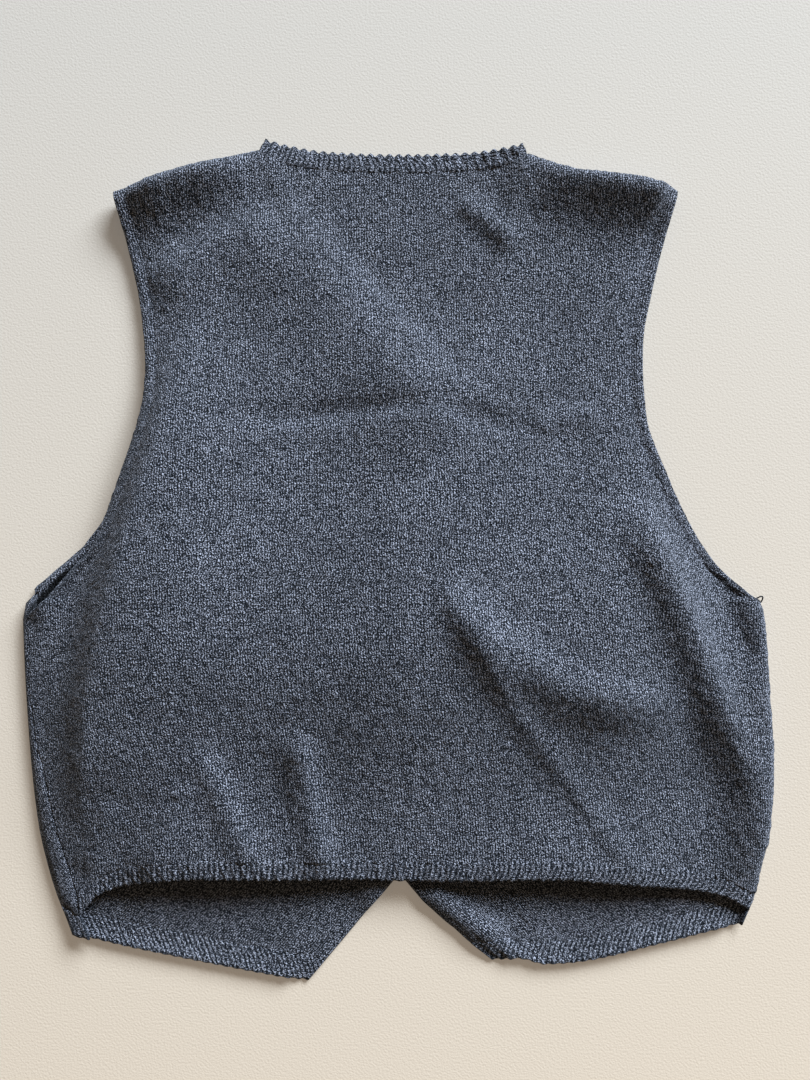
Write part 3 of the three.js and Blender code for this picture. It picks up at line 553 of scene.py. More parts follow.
def back_plan(u, v):
    """A place inside the back's four borders, blended from all of them."""
    low_left = BACK_HEM["y"][0] + BACK_HEM_DEPTH
    low_right = BACK_HEM["y"][-1] + BACK_HEM_DEPTH

    def left(v):
        y = mix(low_left, LEFT_TIP[1], v)
        return np.stack([back_left_x(y), y], -1)

    def right(v):
        y = mix(low_right, RIGHT_TIP[1], v)
        return np.stack([back_right_x(y), y], -1)

    def bottom(u):
        x = mix(left(0.0)[..., 0], right(0.0)[..., 0], u)
        return np.stack([x, back_hem_y(x) + BACK_HEM_DEPTH], -1)

    def top(u):
        x = mix(left(1.0)[..., 0], right(1.0)[..., 0], u)
        return np.stack([x, back_top_y(x)], -1)

    u3, v3 = u[..., None], v[..., None]
    place = bottom(u) * (1 - v3) + top(u) * v3 + left(v) * (1 - u3) + right(v) * u3
    place = place - left(0.0) * (1 - u3) * (1 - v3) - right(0.0) * u3 * (1 - v3)
    return place - left(1.0) * (1 - u3) * v3 - right(1.0) * u3 * v3


def on_back(place):
    x, y = place[..., 0], place[..., 1]
    return np.stack([x, y, back_z(x, y)], -1)


BACK_SPAN = {"across": 440.0, "up": 460.0}


def back_grid(columns, rows):
    across = rolled_stops(columns, BACK_SPAN["across"])
    up = rolled_stops(rows, BACK_SPAN["up"], start=False)
    u, v = np.meshgrid(across, up)
    return on_back(back_plan(u, v))


def along_line(points, shares):
    """The places at shares of the way along a line of points."""
    steps = np.linalg.norm(np.diff(points, axis=0), axis=1)
    reached = np.concatenate([[0], np.cumsum(steps)])
    target = np.asarray(shares) * reached[-1]
    return np.stack([np.interp(target, reached, points[:, k]) for k in range(3)], -1)


def line_length(points):
    return float(np.linalg.norm(np.diff(points, axis=0), axis=1).sum())


def rib_wave(share, ribs, depth_share, gain=1.0):
    """The height of a ribbed band's face over the cloth that it carries on."""
    wave = np.cos(2 * math.pi * ribs * share)
    crest = np.sign(wave) * np.abs(wave) ** RIB_SHARPNESS
    rise = mix(-BAND_SINK, BAND_RAISE, smoothstep(0, BAND_RISE_END, depth_share))
    raised = rise * (1 - smoothstep(BAND_FLAT_FROM, 1, depth_share))
    ribbed = gain * RIB_RELIEF * (0.5 * crest + RIB_MEAN) * smoothstep(*RIB_FADE_IN, depth_share)
    return ribbed + raised


def back_band(seam, edge_ends, edge_y, pitch, rows, gain=1.0):
    """A ribbed band on the back, from the panel's border to its own free edge."""
    ribs = round(line_length(seam) / pitch)
    share = np.linspace(0, 1, ribs * RIB_STEPS + 1)
    start = along_line(seam, share)
    x = mix(edge_ends[0], edge_ends[1], share)
    away = np.sign(edge_y(x) - start[:, 1])
    start = start - away[:, None] * [0, BAND_LAP, 0]
    teeth = gain * TOOTH * np.cos(2 * math.pi * ribs * share) * away
    end = np.stack([x, edge_y(x) + teeth], -1)
    depth = np.linspace(0, 1, rows)[:, None, None]
    grid = on_back(mix(start[None, :, :2], end[None], depth))
    over = start[:, 2] - grid[0, :, 2]
    grid[..., 2] += over[None] * (1 - depth[..., 0])
    relief = rib_wave(share[None], ribs, depth[..., 0], gain)
    return grid, relief


TURN_LENGTH = (math.pi / 2) * math.sqrt((SIDE_REACH**2 + SIDE_SEAM_Z**2) / 2)


def wrap_on_top(y):
    return np.maximum(0, back_left_x(y) - left_fold_x(y) - SEAM)


FRONTS = {
    "left": {
        "side_x": front_left_x,
        "rows": FRONT_LEFT_ROWS,
        "neck": NECK_LEFT_EDGE,
        "bow": curve_through(FRONT_LEFT_BOW, "share", "drop"),
        "under_z": front_left_z,
        "shoulder": SHOULDER_LEFT,
        "corner_y": LEFT_FOLD["y"][0],
        "tip": (-59.2, -275.8),
        "wraps": True,
    },
    "right": {
        "side_x": front_right_x,
        "rows": FRONT_RIGHT_ROWS,
        "neck": NECK_RIGHT_EDGE,
        "bow": curve_through(FRONT_RIGHT_BOW, "share", "drop"),
        "under_z": front_right_z,
        "shoulder": SHOULDER_RIGHT,
        "corner_y": RIGHT_FOLD["y"][0],
        "tip": (61.8, -262.0),
        "wraps": False,
    },
}


def front_row(front, side_y):
    """The two ends of a front's row: on its side and on its open edge."""
    edge_x = curve_through(front["rows"], "side_y", "edge_x")(side_y)
    edge_y = curve_through(front["rows"], "side_y", "edge_y")(side_y)
    side = np.stack([front["side_x"](side_y), side_y], -1)
    return side, np.stack([edge_x, edge_y], -1)


def front_points(front, side, edge, path, start, drop):
    """A front's underside at path lengths along its rows, which start at the path of their seam."""
    length = np.linalg.norm(edge - side, axis=-1)
    direction = (edge - side) / length[..., None]
    folded = folded_share(side[..., 1])
    turn = np.clip(path / TURN_LENGTH, 0, 1) * math.pi / 2
    past = np.maximum(path - TURN_LENGTH, 0)
    inset = np.where(path < 0, -path, SIDE_REACH * (1 - np.cos(turn)) + past)
    top_z = back_z(side[..., 0] + direction[..., 0] * inset, side[..., 1])
    turned_z = np.where(path < 0, top_z, (SIDE_SEAM_Z - FOLD_GAP) * (1 - np.sin(turn)))
    spread = SIDE_REACH * (path - start) / (TURN_LENGTH - start)
    reach = np.where(path > TURN_LENGTH, inset, mix(spread, inset, folded))
    place = side + direction * np.minimum(reach, length)[..., None]
    place[..., 1] -= drop
    flat = front["under_z"](place[..., 0], place[..., 1])
    z = np.where(path > TURN_LENGTH, flat, mix(flat, turned_z, folded))
    return np.concatenate([place, z[..., None]], -1)


def hem_drop(front, side, edge, path, v):
    share = np.clip(path / np.linalg.norm(edge - side, axis=-1), 0, 1)
    return front["bow"](share) * (1 - smoothstep(0, HEM_BOW_REACH, v))


def shoulder_bow(front, side, edge, path, v):
    share = np.clip(path / np.linalg.norm(edge - side, axis=-1), 0, 1)[..., None]
    top_side, top_edge = front_row(front, np.array(float(front["rows"]["side_y"][-1])))
    place = mix(top_side, top_edge, share)
    y = shoulder_y(front["shoulder"], place[..., 0])
    return (y - place[..., 1]) * smoothstep(SHOULDER_BOW_FROM, 1, v)


WRAP_STEPS = 12  # columns on top of the back, past the left side's fold
TURN_STEPS = 10  # columns round a side's fold


def front_grid(front, columns, rows):
    side_y = front["rows"]["side_y"]
    v = rolled_stops(rows, side_y[-1] - side_y[0], start=False)
    side, edge = front_row(front, mix(side_y[0], side_y[-1], v))
    wrap = np.zeros(len(v))
    if front["wraps"]:
        wrap = np.maximum(LEAST_WRAP, wrap_on_top(side[:, 1]))
    length = np.linalg.norm(edge - side, axis=-1) - SIDE_REACH + TURN_LENGTH
    turn = TURN_LENGTH * np.linspace(0, 1, TURN_STEPS + 1)[None, :-1]
    turn = np.broadcast_to(turn, (len(v), TURN_STEPS))
    flat = mix(TURN_LENGTH, length[:, None], np.linspace(0, 1, columns + 1)[None])
    path = np.concatenate([turn, flat], 1)
    if front["wraps"]:
        over_top = -wrap[:, None] * np.linspace(1, 0, WRAP_STEPS + 1)[None, :-1]
        path = np.concatenate([over_top, path], 1)
    side = np.broadcast_to(side[:, None], (*path.shape, 2))
    edge = np.broadcast_to(edge[:, None], (*path.shape, 2))
    v = np.broadcast_to(v[:, None], path.shape)
    drop = hem_drop(front, side, edge, path, v) - shoulder_bow(front, side, edge, path, v)
    return front_points(front, side, edge, path, -wrap[:, None], drop)


def front_hem(front, panel, rows):
    """The ribbed band along a front's hem: its underside, and its ribs' height."""
    corner_y = float(front["corner_y"])
    side = np.array([float(front["side_x"](corner_y)), corner_y])
    edge = np.array(front["tip"], float)
    wrap = float(wrap_on_top(front["rows"]["side_y"][0])) if front["wraps"] else 0.0
    length = float(np.linalg.norm(edge - side)) - SIDE_REACH + TURN_LENGTH
    ribs = round((length + wrap) / RIB_PITCH)
    share = np.linspace(0, 1, ribs * RIB_STEPS + 1)
    path = mix(-wrap, length, share)
    sides = np.broadcast_to(side, (len(share), 2))
    edges = np.broadcast_to(edge, (len(share), 2))
    drop = hem_drop(front, sides, edges, path, np.zeros(len(share)))
    drop = drop + TOOTH * np.cos(2 * math.pi * ribs * share)
    end = front_points(front, sides, edges, path, -wrap, drop)
    depth = np.linspace(0, 1, rows)[:, None, None]
    grid = mix(along_line(panel[HEM_SEAM_ROW], share)[None], end[None], depth)
    curl = HEM_CURL["height"] * depth[..., 0] ** 2 * smoothstep(HEM_CURL["starts"], HEM_CURL["full"], share)
    grid[..., 2] += curl * (1 - smoothstep(HEM_CURL["full_until"], HEM_CURL["ends"], share))
    return grid[::-1], rib_wave(share[None], ribs, depth[::-1, :, 0])


NECK_BAND_STEPS = 160


def front_neck(front, panel, rows):
    """The band down a front's neck edge."""
    side_y = front["neck"]["side_y"]
    first_y = curve_through(front["rows"], "side_y", "edge_y")(side_y[0])
    open_edge = panel[:, -1]
    seam = open_edge[open_edge[:, 1] > first_y - SEAM]
    share = np.linspace(0, 1, NECK_BAND_STEPS + 1)
    at = mix(side_y[0], side_y[-1], share)
    x = curve_through(front["neck"], "side_y", "x")(at)
    y = curve_through(front["neck"], "side_y", "y")(at)
    end = np.stack([x, y, front["under_z"](x, y)], -1)
    depth = np.linspace(0, 1, rows)[:, None, None]
    grid = mix(along_line(seam, share)[None], end[None], depth)
    grid[..., 2] = front["under_z"](grid[..., 0], grid[..., 1])
    return grid


# Meshes
def quads(a, b, c, d):
    return np.stack([a, b, c, d], -1).reshape(-1, 4)


def border(rows, columns, step):
    """The indices round a grid's border, in order, at every step of it."""
    index = np.arange(rows * columns).reshape(rows, columns)
    bottom = index[0, ::step]
    right = index[::step, -1]
    top = index[-1, ::-1][::step]
    left = index[::-1, 0][::step]
    return np.concatenate([bottom[:-1], right[:-1], top[:-1], left[:-1]])


def stitch_uv(grid, wales_from):
    """Counts of stitches across and of rows up, from the lengths of the cloth."""
    across = np.linalg.norm(np.diff(grid, axis=1), axis=2)
    across = np.concatenate([np.zeros((len(grid), 1)), np.cumsum(across, 1)], 1)
    up = np.linalg.norm(np.diff(grid, axis=0), axis=2)
    up = np.concatenate([np.zeros((1, grid.shape[1])), np.cumsum(up, 0)], 0)
    across = across - across[:, wales_from][:, None]
    return np.stack([across / WALE, up / COURSE], -1)


def edge_uv(grid, from_left):
    """The same, counted in from one side, so that the stitches follow that edge."""
    ordered = grid if from_left else grid[:, ::-1]
    across = np.linalg.norm(np.diff(ordered, axis=1), axis=2)
    across = np.concatenate([np.zeros((len(grid), 1)), np.cumsum(across, 1)], 1)
    up = np.linalg.norm(np.diff(ordered[:, 0], axis=0), axis=1)
    up = np.concatenate([[0], np.cumsum(up)])
    uv = np.stack([across / WALE, np.broadcast_to(up[:, None] / COURSE, across.shape)], -1)
    return uv if from_left else uv[:, ::-1]


def grid_quads(rows, columns):
    index = np.arange(rows * columns).reshape(rows, columns)
    return quads(index[:-1, :-1], index[:-1, 1:], index[1:, 1:], index[1:, :-1])


def rounded_edge(fine, coarse, ring):
    """The line round a cloth, halfway between its faces and out past both."""
    above = fine.reshape(-1, 3)[ring]
    below = coarse.reshape(-1, 3)[ring]
    middle = (above + below) / 2
    along = np.roll(middle, 1, 0) - np.roll(middle, -1, 0)
    outwards = np.cross(along, above - below)
    outwards /= np.maximum(np.linalg.norm(outwards, axis=1, keepdims=True), 1e-9)
    centre = fine.reshape(-1, 3).mean(0)
    if np.median(np.sum(outwards * (middle - centre), 1)) < 0:
        outwards = -outwards
    return middle + outwards * EDGE_ROUND


def edge_fans(around, few_ring, step):
    """Triangles between the rounded edge and the coarse face, which has a point at every step of it."""
    after = np.roll(around, -1)
    fans = []
    for i, held in enumerate(few_ring):
        following = few_ring[(i + 1) % len(few_ring)]
        for k in range(step):
            at = i * step + k
            fans.append((around[at], held if k < step // 2 else following, after[at]))
        fans.append((around[i * step + step // 2], held, following))
    return fans


def set_stitches(mesh, point_uv, special):
    """The uv map of the stitches, from each point's uv and from masks of faces with a uv of their own."""
    corner = np.empty(len(mesh.loops), dtype=np.int32)
    mesh.loops.foreach_get("vertex_index", corner)
    corner_uv = point_uv[corner]
    for mask, other in special:
        chosen = np.flatnonzero(mask.reshape(-1))
        corners = (chosen[:, None] * 4 + np.arange(4)).reshape(-1)
        corner_uv[corners] = other.reshape(-1, 2)[corner[corners]]
    layer = mesh.uv_layers.new(name="stitches")
    layer.data.foreach_set("uv", corner_uv.astype(np.float32).reshape(-1))


def cloth_mesh(name, fine, coarse, step, uv, special=()):
    """A closed cloth: a fine face, a rounded edge and, at every step of the grid, a coarse face.

    fine and coarse are grids of the same size. special has masks of faces and the uv that they take.
    """
    rows, columns = fine.shape[:2]
    ring = border(rows, columns, 1)
    few = coarse[::step, ::step]
    few_rows, few_columns = few.shape[:2]
    around = rows * columns + np.arange(len(ring))
    few_at = rows * columns + len(ring)
    few_quads = few_at + grid_quads(few_rows, few_columns)[:, [0, 3, 2, 1]]
    faces = grid_quads(rows, columns).tolist()
    faces += quads(ring, around, np.roll(around, -1), np.roll(ring, -1)).tolist()
    faces += few_quads.tolist()
    faces += edge_fans(around, few_at + border(few_rows, few_columns, 1), step)
    middle = rounded_edge(fine, coarse, ring)
    points = np.concatenate([fine.reshape(-1, 3), middle, few.reshape(-1, 3)]) * MM
    mesh = bpy.data.meshes.new(name)
    mesh.from_pydata(points.tolist(), [], faces)
    flat_uv = uv.reshape(-1, 2)
    few_uv = uv[::step, ::step].reshape(-1, 2)
    set_stitches(mesh, np.concatenate([flat_uv, flat_uv[ring], few_uv]), special)
    mesh.polygons.foreach_set("use_smooth", np.ones(len(mesh.polygons), dtype=bool))
    obj = bpy.data.objects.new(name, mesh)
    bpy.context.scene.collection.objects.link(obj)
    face_outwards(mesh)
    return obj


def face_outwards(mesh):
    """Turns the faces round if the closed mesh is inside out."""
    held = bmesh.new()
    held.from_mesh(mesh)
    bmesh.ops.recalc_face_normals(held, faces=held.faces)
    if held.calc_volume(signed=True) < 0:
        bmesh.ops.reverse_faces(held, faces=held.faces)
    held.to_mesh(mesh)
    held.free()


random = np.random.default_rng(SEED)


def nubby(grid, normal, spread=NUB):
    """Moves the points along their normals, at random, as the yarn is uneven."""
    rough = random.normal(size=grid.shape[:2])
    soft = (rough + np.roll(rough, 1, 0) + np.roll(rough, 1, 1) + np.roll(rough, (1, 1), (0, 1))) / 2
    return grid + normal * (soft * spread)[..., None]


BACK_STEPS = {"columns": 290, "rows": 277}
FRONT_STEPS = {"left": 158, "right": 170, "rows": 173}
COARSE_STEP = 4
BAND_ROWS = 9
EDGE_WALES = 3 * WALE  # depth of the stitches that follow an armhole


def level_at_folds(inner, grid):
    """Keeps the back's inner face above its folds' outermost line."""
    x, y = grid[..., 0], grid[..., 1]
    at_side = (right_fold_x(y) - x < SIDE_REACH) & (y < UNDERARM_Y)
    floor = np.where(at_side, SIDE_SEAM_Z + FOLD_GAP, -np.inf)
    floor = np.where(to_shoulder_fold(x, y) < SHOULDER_REACH, SHOULDER_SEAM_Z + FOLD_GAP, floor)
    inner[..., 2] = np.maximum(inner[..., 2], floor)
    return inner


def below_folds(inner, grid):
    x, y = grid[..., 0], grid[..., 1]
    ceiling = np.where(right_fold_x(y) - x < SIDE_REACH, SIDE_SEAM_Z - FOLD_GAP, np.inf)
    at_shoulder = to_shoulder_fold(x, y) < SHOULDER_REACH
    ceiling = np.where(at_shoulder, SHOULDER_SEAM_Z - FOLD_GAP, ceiling)
    inner[..., 2] = np.minimum(inner[..., 2], ceiling)
    return inner


def armhole_faces(grid, from_left):
    """The faces within a few stitches of an armhole's edge."""
    ordered = grid if from_left else grid[:, ::-1]
    across = np.linalg.norm(np.diff(ordered, axis=1), axis=2)
    inset = np.cumsum(across, 1) - across / 2
    near = inset[:-1] < EDGE_WALES
    near &= ordered[:-1, :1, 1] > BACK_CORNER_Y
    return near if from_left else near[:, ::-1]


def back_piece(name):
    grid = back_grid(**BACK_STEPS)
    normal = normals(grid)
    inner = level_at_folds(grid - normal * KNIT_THICKNESS, grid)
    middle = int(np.argmin(np.abs(grid[0, :, 0])))
    special = [(armhole_faces(grid, side), edge_uv(grid, side)) for side in (True, False)]
    uv = stitch_uv(grid, middle)
    obj = cloth_mesh(name, nubby(grid, normal), inner, COARSE_STEP, uv, special)
    return obj, grid


def back_band_piece(name, seam, ends, edge_y, pitch, gain=1.0):
    grid, relief = back_band(seam, ends, edge_y, pitch, BAND_ROWS, gain)
    normal = normals(grid)
    if normal[..., 2].mean() < 0:
        normal = -normal
    inner = level_at_folds(grid - normal * KNIT_THICKNESS, grid)
    face = nubby(grid + normal * relief[..., None], normal)
    uv = stitch_uv(grid, 0)
    return cloth_mesh(name, face, inner, 1, uv)


def front_piece(name, front, columns):
    grid = front_grid(front, columns, FRONT_STEPS["rows"])
    normal = normals(grid)
    if normal[len(grid) // 3, grid.shape[1] // 2, 2] < 0:
        normal = -normal
    inner = below_folds(grid + normal * KNIT_THICKNESS, grid)
    uv = stitch_uv(grid, grid.shape[1] - 1)
    under = np.maximum(grid, [-np.inf, -np.inf, 0])
    obj = cloth_mesh(name, nubby(inner, normal), under, COARSE_STEP, uv)
    return obj, grid


def front_hem_piece(name, front, panel):
    grid, relief = front_hem(front, panel, BAND_ROWS)
    normal = normals(grid)
    if normal[BAND_ROWS // 2, grid.shape[1] // 2, 2] < 0:
        normal = -normal
    inner = below_folds(grid + normal * KNIT_THICKNESS, grid)
    face = nubby(inner + normal * relief[..., None], normal)
    return cloth_mesh(name, face, grid, 1, stitch_uv(grid, 0))


def front_neck_piece(name, front, panel):
    grid = front_neck(front, panel, BAND_ROWS)
    normal = normals(grid)
    if normal[BAND_ROWS // 2, grid.shape[1] // 2, 2] < 0:
        normal = -normal
    inner = below_folds(grid + normal * KNIT_THICKNESS, grid)
    return cloth_mesh(name, nubby(inner, normal), grid, 1, stitch_uv(grid, 0))


# Materials
class Nodes:
    """A short way to write a material's nodes."""

    def __init__(self, name):
        self.material = bpy.data.materials.new(name)
        self.material.use_nodes = True
        self.tree = self.material.node_tree
        self.shader = self.tree.nodes["Principled BSDF"]

    def add(self, kind, **settings):
        node = self.tree.nodes.new(kind)
        for key, value in settings.items():
            setattr(node, key, value)
        return node

    def put(self, socket, value):
        if isinstance(value, bpy.types.NodeSocket):
            self.tree.links.new(value, socket)
        else:
            socket.default_value = value

    def math(self, operation, a, b=0.0, c=0.0):
        node = self.add("ShaderNodeMath", operation=operation)
        for socket, value in zip(node.inputs, (a, b, c)):
            self.put(socket, value)
        return node.outputs[0]

    def noise(self, vector, scale, detail=2.0, roughness=0.5):
        node = self.add("ShaderNodeTexNoise")
        self.put(node.inputs["Vector"], vector)
        node.inputs["Scale"].default_value = scale
        node.inputs["Detail"].default_value = detail
        node.inputs["Roughness"].default_value = roughness
        return node

    def range(self, value, from_low, from_high, low=0.0, high=1.0):
        node = self.add("ShaderNodeMapRange")
        for key, number in zip(("Value", "From Min", "From Max", "To Min", "To Max"),
                               (value, from_low, from_high, low, high)):
            self.put(node.inputs[key], number)
        return node.outputs[0]

    def colour_mix(self, share, a, b):
        node = self.add("ShaderNodeMix", data_type="RGBA")
        self.put(node.inputs["Factor"], share)
        self.put(node.inputs[6], a)
        self.put(node.inputs[7], b)
        return node.outputs[2]

    def bump(self, height, distance, strength=1.0):
        node = self.add("ShaderNodeBump")
        node.inputs["Strength"].default_value = strength
        node.inputs["Distance"].default_value = distance
        self.put(node.inputs["Height"], height)
        return node.outputs[0]

    def object_place(self):
        return self.add("ShaderNodeTexCoord").outputs["Object"]

    def set_shader(self, settings):
        for name, value in settings.items():
            self.shader.inputs[name].default_value = value


NOISE_RANGE = (0.3, 0.7)  # where most of a noise's values lie
# From darkest to palest: the near-black end is painted shade in the stitches' hollows, and the pale end is a
# painted highlight on their tops.
YARN_AND_PAINTED_STITCH_SHADE_RAMP = [
    (0.18, (0.004, 0.007, 0.012, 1)),
    (0.57, (0.0196, 0.0242, 0.037, 1)),
    (0.92, (0.42, 0.455, 0.57, 1)),
]
YARN_AND_PAINTED_STITCH_SHADE_RANGE = (0.345, 0.755)  # of height and speck together: low stitches get painted shade and high ones a painted highlight, while the specks are the melange yarn's own
# how much the stitches' height sets the colour, as painted shade and painted highlight
PAINTED_STITCH_SHADE_WEIGHT = 0.55
SPECK_WEIGHT = 0.5
NUB_SCALE = 1200.0
SPECK_SCALE = 1500.0
CLOUD_SCALE = 22.0
CLOUD_TONE = (0.86, 1.12)
SWAY_SCALE = 0.8
WALE_SWAY = 0.9
COURSE_SWAY = 1.3
RIB_SWAY = 0.35  # the share of the sway that ribs keep
LEG_SLANT = -1.5
STITCH_SHARE = {"plain": 0.5, "rib": 0.47}  # the stitches' part of the relief, next to the nubs'
KNIT_BUMP = 0.0011
KNIT_SHADER = {
    "Roughness": 0.92,
    "Specular IOR Level": 0.18,
    "Sheen Weight": 0.2,
    "Sheen Roughness": 0.45,
    "Sheen Tint": (0.62, 0.72, 0.9, 1),
}
# Painted shade in the armhole's gap under the left arm: an ellipse where the left front's colour is
# darkened, down to the darkest share.
PAINTED_GAP_SHADE = {"x": -224.5, "y": -19.5, "angle": 47.0, "length": 26.0, "width": 5.5, "darkest": 0.08}
PAINTED_GAP_SHADE_FADE = (0.75, 1.1)


def painted_gap_shade(nodes, place):
    """Painted shade: darkens the colour in an ellipse over the armhole's gap under the left arm, where the
    real gap lies in shadow.
    """
    turned = nodes.add("ShaderNodeMapping", vector_type="TEXTURE")
    nodes.put(turned.inputs["Vector"], place)
    turned.inputs["Location"].default_value = (PAINTED_GAP_SHADE["x"] * MM, PAINTED_GAP_SHADE["y"] * MM, 0)
    turned.inputs["Rotation"].default_value = (0, 0, math.radians(PAINTED_GAP_SHADE["angle"]))
    turned.inputs["Scale"].default_value = (PAINTED_GAP_SHADE["length"] * MM, PAINTED_GAP_SHADE["width"] * MM, 1)
    flat = nodes.add("ShaderNodeVectorMath", operation="MULTIPLY")
    nodes.put(flat.inputs[0], turned.outputs[0])
    flat.inputs[1].default_value = (1, 1, 0)
    length = nodes.add("ShaderNodeVectorMath", operation="LENGTH")
    nodes.put(length.inputs[0], flat.outputs[0])
    return nodes.range(length.outputs["Value"], *PAINTED_GAP_SHADE_FADE, PAINTED_GAP_SHADE["darkest"], 1.0)


def stitch_height(nodes, ribbed):
    """The loops of stocking stitch, on a uv map that counts wales and courses."""
    uv = nodes.add("ShaderNodeUVMap", uv_map="stitches").outputs[0]
    sway = nodes.add("ShaderNodeSeparateColor")
    nodes.put(sway.inputs[0], nodes.noise(uv, SWAY_SCALE).outputs["Color"])
    count = nodes.add("ShaderNodeSeparateXYZ")
    nodes.put(count.inputs[0], uv)
    kept = RIB_SWAY if ribbed else 1.0
    wale_sway = nodes.math("SUBTRACT", sway.outputs[0], 0.5)
    course_sway = nodes.math("SUBTRACT", sway.outputs[1], 0.5)
    wale = nodes.math("MULTIPLY_ADD", wale_sway, WALE_SWAY * kept, count.outputs[0])
    course = nodes.math("MULTIPLY_ADD", course_sway, COURSE_SWAY * kept, count.outputs[1])
    off_centre = nodes.math("ABSOLUTE", nodes.math("SUBTRACT", nodes.math("FRACT", wale), 0.5))
    wave, turn = ("COSINE", math.pi) if ribbed else ("SINE", 2 * math.pi)
    leg = nodes.math(wave, nodes.math("MULTIPLY", off_centre, turn))
    slant = nodes.math("MULTIPLY_ADD", off_centre, LEG_SLANT, course)
    crest = nodes.math("SINE", nodes.math("MULTIPLY", nodes.math("FRACT", slant), math.pi))
    return nodes.math("MULTIPLY", leg, nodes.math("MULTIPLY_ADD", crest, 0.5, 0.5))


def grains(nodes, place, scale):
    return nodes.range(nodes.noise(place, scale, 1.0).outputs["Fac"], *NOISE_RANGE)


# The colour from darkest to palest, with painted shade and painted highlight from the stitches' height.
def yarn_and_painted_stitch_shade(nodes, light):
    ramp = nodes.add("ShaderNodeValToRGB")
    nodes.put(ramp.inputs[0], light)
    stops = ramp.color_ramp.elements
    stops.new(YARN_AND_PAINTED_STITCH_SHADE_RAMP[-1][0])
    for stop, (at, colour) in zip(stops, YARN_AND_PAINTED_STITCH_SHADE_RAMP):
        stop.position = at
        stop.color = colour
    return ramp.outputs[0]


def knit_material(name, stitch_share, with_painted_gap_shade=False, ribbed=False):
    """Uneven melange yarn in stocking stitch, with straighter wales where it is ribbed. The colour carries
    painted shade in the stitches' hollows and a painted highlight on their tops, and, when asked, painted
    shade in the gap under the left arm.
    """
    nodes = Nodes(name)
    place = nodes.object_place()
    loops = nodes.math("MULTIPLY", stitch_height(nodes, ribbed), stitch_share)
    nubs = nodes.math("MULTIPLY", grains(nodes, place, NUB_SCALE), 1 - stitch_share)
    height = nodes.math("ADD", loops, nubs)
    specks = nodes.math("MULTIPLY", grains(nodes, place, SPECK_SCALE), SPECK_WEIGHT)
    # Painted shade and highlight: the stitches' height, with the yarn's specks, sets how dark the colour is.
    light = nodes.range(nodes.math("MULTIPLY_ADD", height, PAINTED_STITCH_SHADE_WEIGHT, specks), *YARN_AND_PAINTED_STITCH_SHADE_RANGE)
    clouds = nodes.noise(place, CLOUD_SCALE, 3.0, 0.6).outputs["Fac"]
    tone = nodes.range(clouds, *NOISE_RANGE, *CLOUD_TONE)
    # Painted shade in the gap under the left arm.
    if with_painted_gap_shade:
        tone = nodes.math("MULTIPLY", tone, painted_gap_shade(nodes, place))
    toned = nodes.add("ShaderNodeVectorMath", operation="SCALE")
    nodes.put(toned.inputs[0], yarn_and_painted_stitch_shade(nodes, light))
    nodes.put(toned.inputs["Scale"], tone)
    nodes.put(nodes.shader.inputs["Base Color"], toned.outputs[0])
    nodes.put(nodes.shader.inputs["Normal"], nodes.bump(height, KNIT_BUMP))
    nodes.set_shader(KNIT_SHADER)
    return nodes.material


BUTTON_DARK = (0.018, 0.02, 0.025, 1)
BUTTON_PALE = (0.05, 0.055, 0.065, 1)


def button_material():
    nodes = Nodes("button_plastic")
    swirl = nodes.noise(nodes.object_place(), 160.0, 3.0, 0.6).outputs["Fac"]
    colour = nodes.colour_mix(nodes.range(swirl, 0.35, 0.65), BUTTON_DARK, BUTTON_PALE)
    nodes.put(nodes.shader.inputs["Base Color"], colour)
    nodes.put(nodes.shader.inputs["Normal"], nodes.bump(swirl, 0.00015, 0.4))
    nodes.set_shader({"Roughness": 0.38})
    return nodes.material


# Painted light on the floor: darker and cooler at the top, and paler and warmer at the bottom. This stands
# in for the warm room light and makes up for the window lamp's falloff.
FLOOR_TOP_PAINTED_DIM = (0.56, 0.535, 0.505, 1)
FLOOR_BOTTOM_PAINTED_WARM_LIGHT = (0.73, 0.635, 0.53, 1)
FLOOR_GRAIN = (0.42, 0.4, 0.36, 1)
FLOOR_GRAIN_SCALE = 700.0
FLOOR_GRAIN_SHARE = 0.15
FLOOR_PAINTED_LIGHT_TURNS = (0.35, -0.35)  # metres up the page, where the floor's painted light is at its dim cool top and where it is at its warm pale bottom
FLOOR_GLOW = 0.25  # a little light from the floor itself, which keeps its shadows soft


def floor_material():
    nodes = Nodes("pale_floor")
    place = nodes.object_place()
    grain = nodes.noise(place, FLOOR_GRAIN_SCALE).outputs["Fac"]
    parts = nodes.add("ShaderNodeSeparateXYZ")
    nodes.put(parts.inputs[0], place)
    # Painted light: the floor grows paler and warmer down the page.
    painted_warm_light_share = nodes.range(parts.outputs[1], *FLOOR_PAINTED_LIGHT_TURNS)
    pale = nodes.colour_mix(painted_warm_light_share, FLOOR_TOP_PAINTED_DIM, FLOOR_BOTTOM_PAINTED_WARM_LIGHT)
    colour = nodes.colour_mix(nodes.math("MULTIPLY", grain, FLOOR_GRAIN_SHARE), pale, FLOOR_GRAIN)
    nodes.put(nodes.shader.inputs["Base Color"], colour)
    nodes.put(nodes.shader.inputs["Emission Color"], colour)
    nodes.put(nodes.shader.inputs["Normal"], nodes.bump(grain, 0.0004, 0.5))
    nodes.set_shader({"Emission Strength": FLOOR_GLOW, "Roughness": 0.95})
    return nodes.material


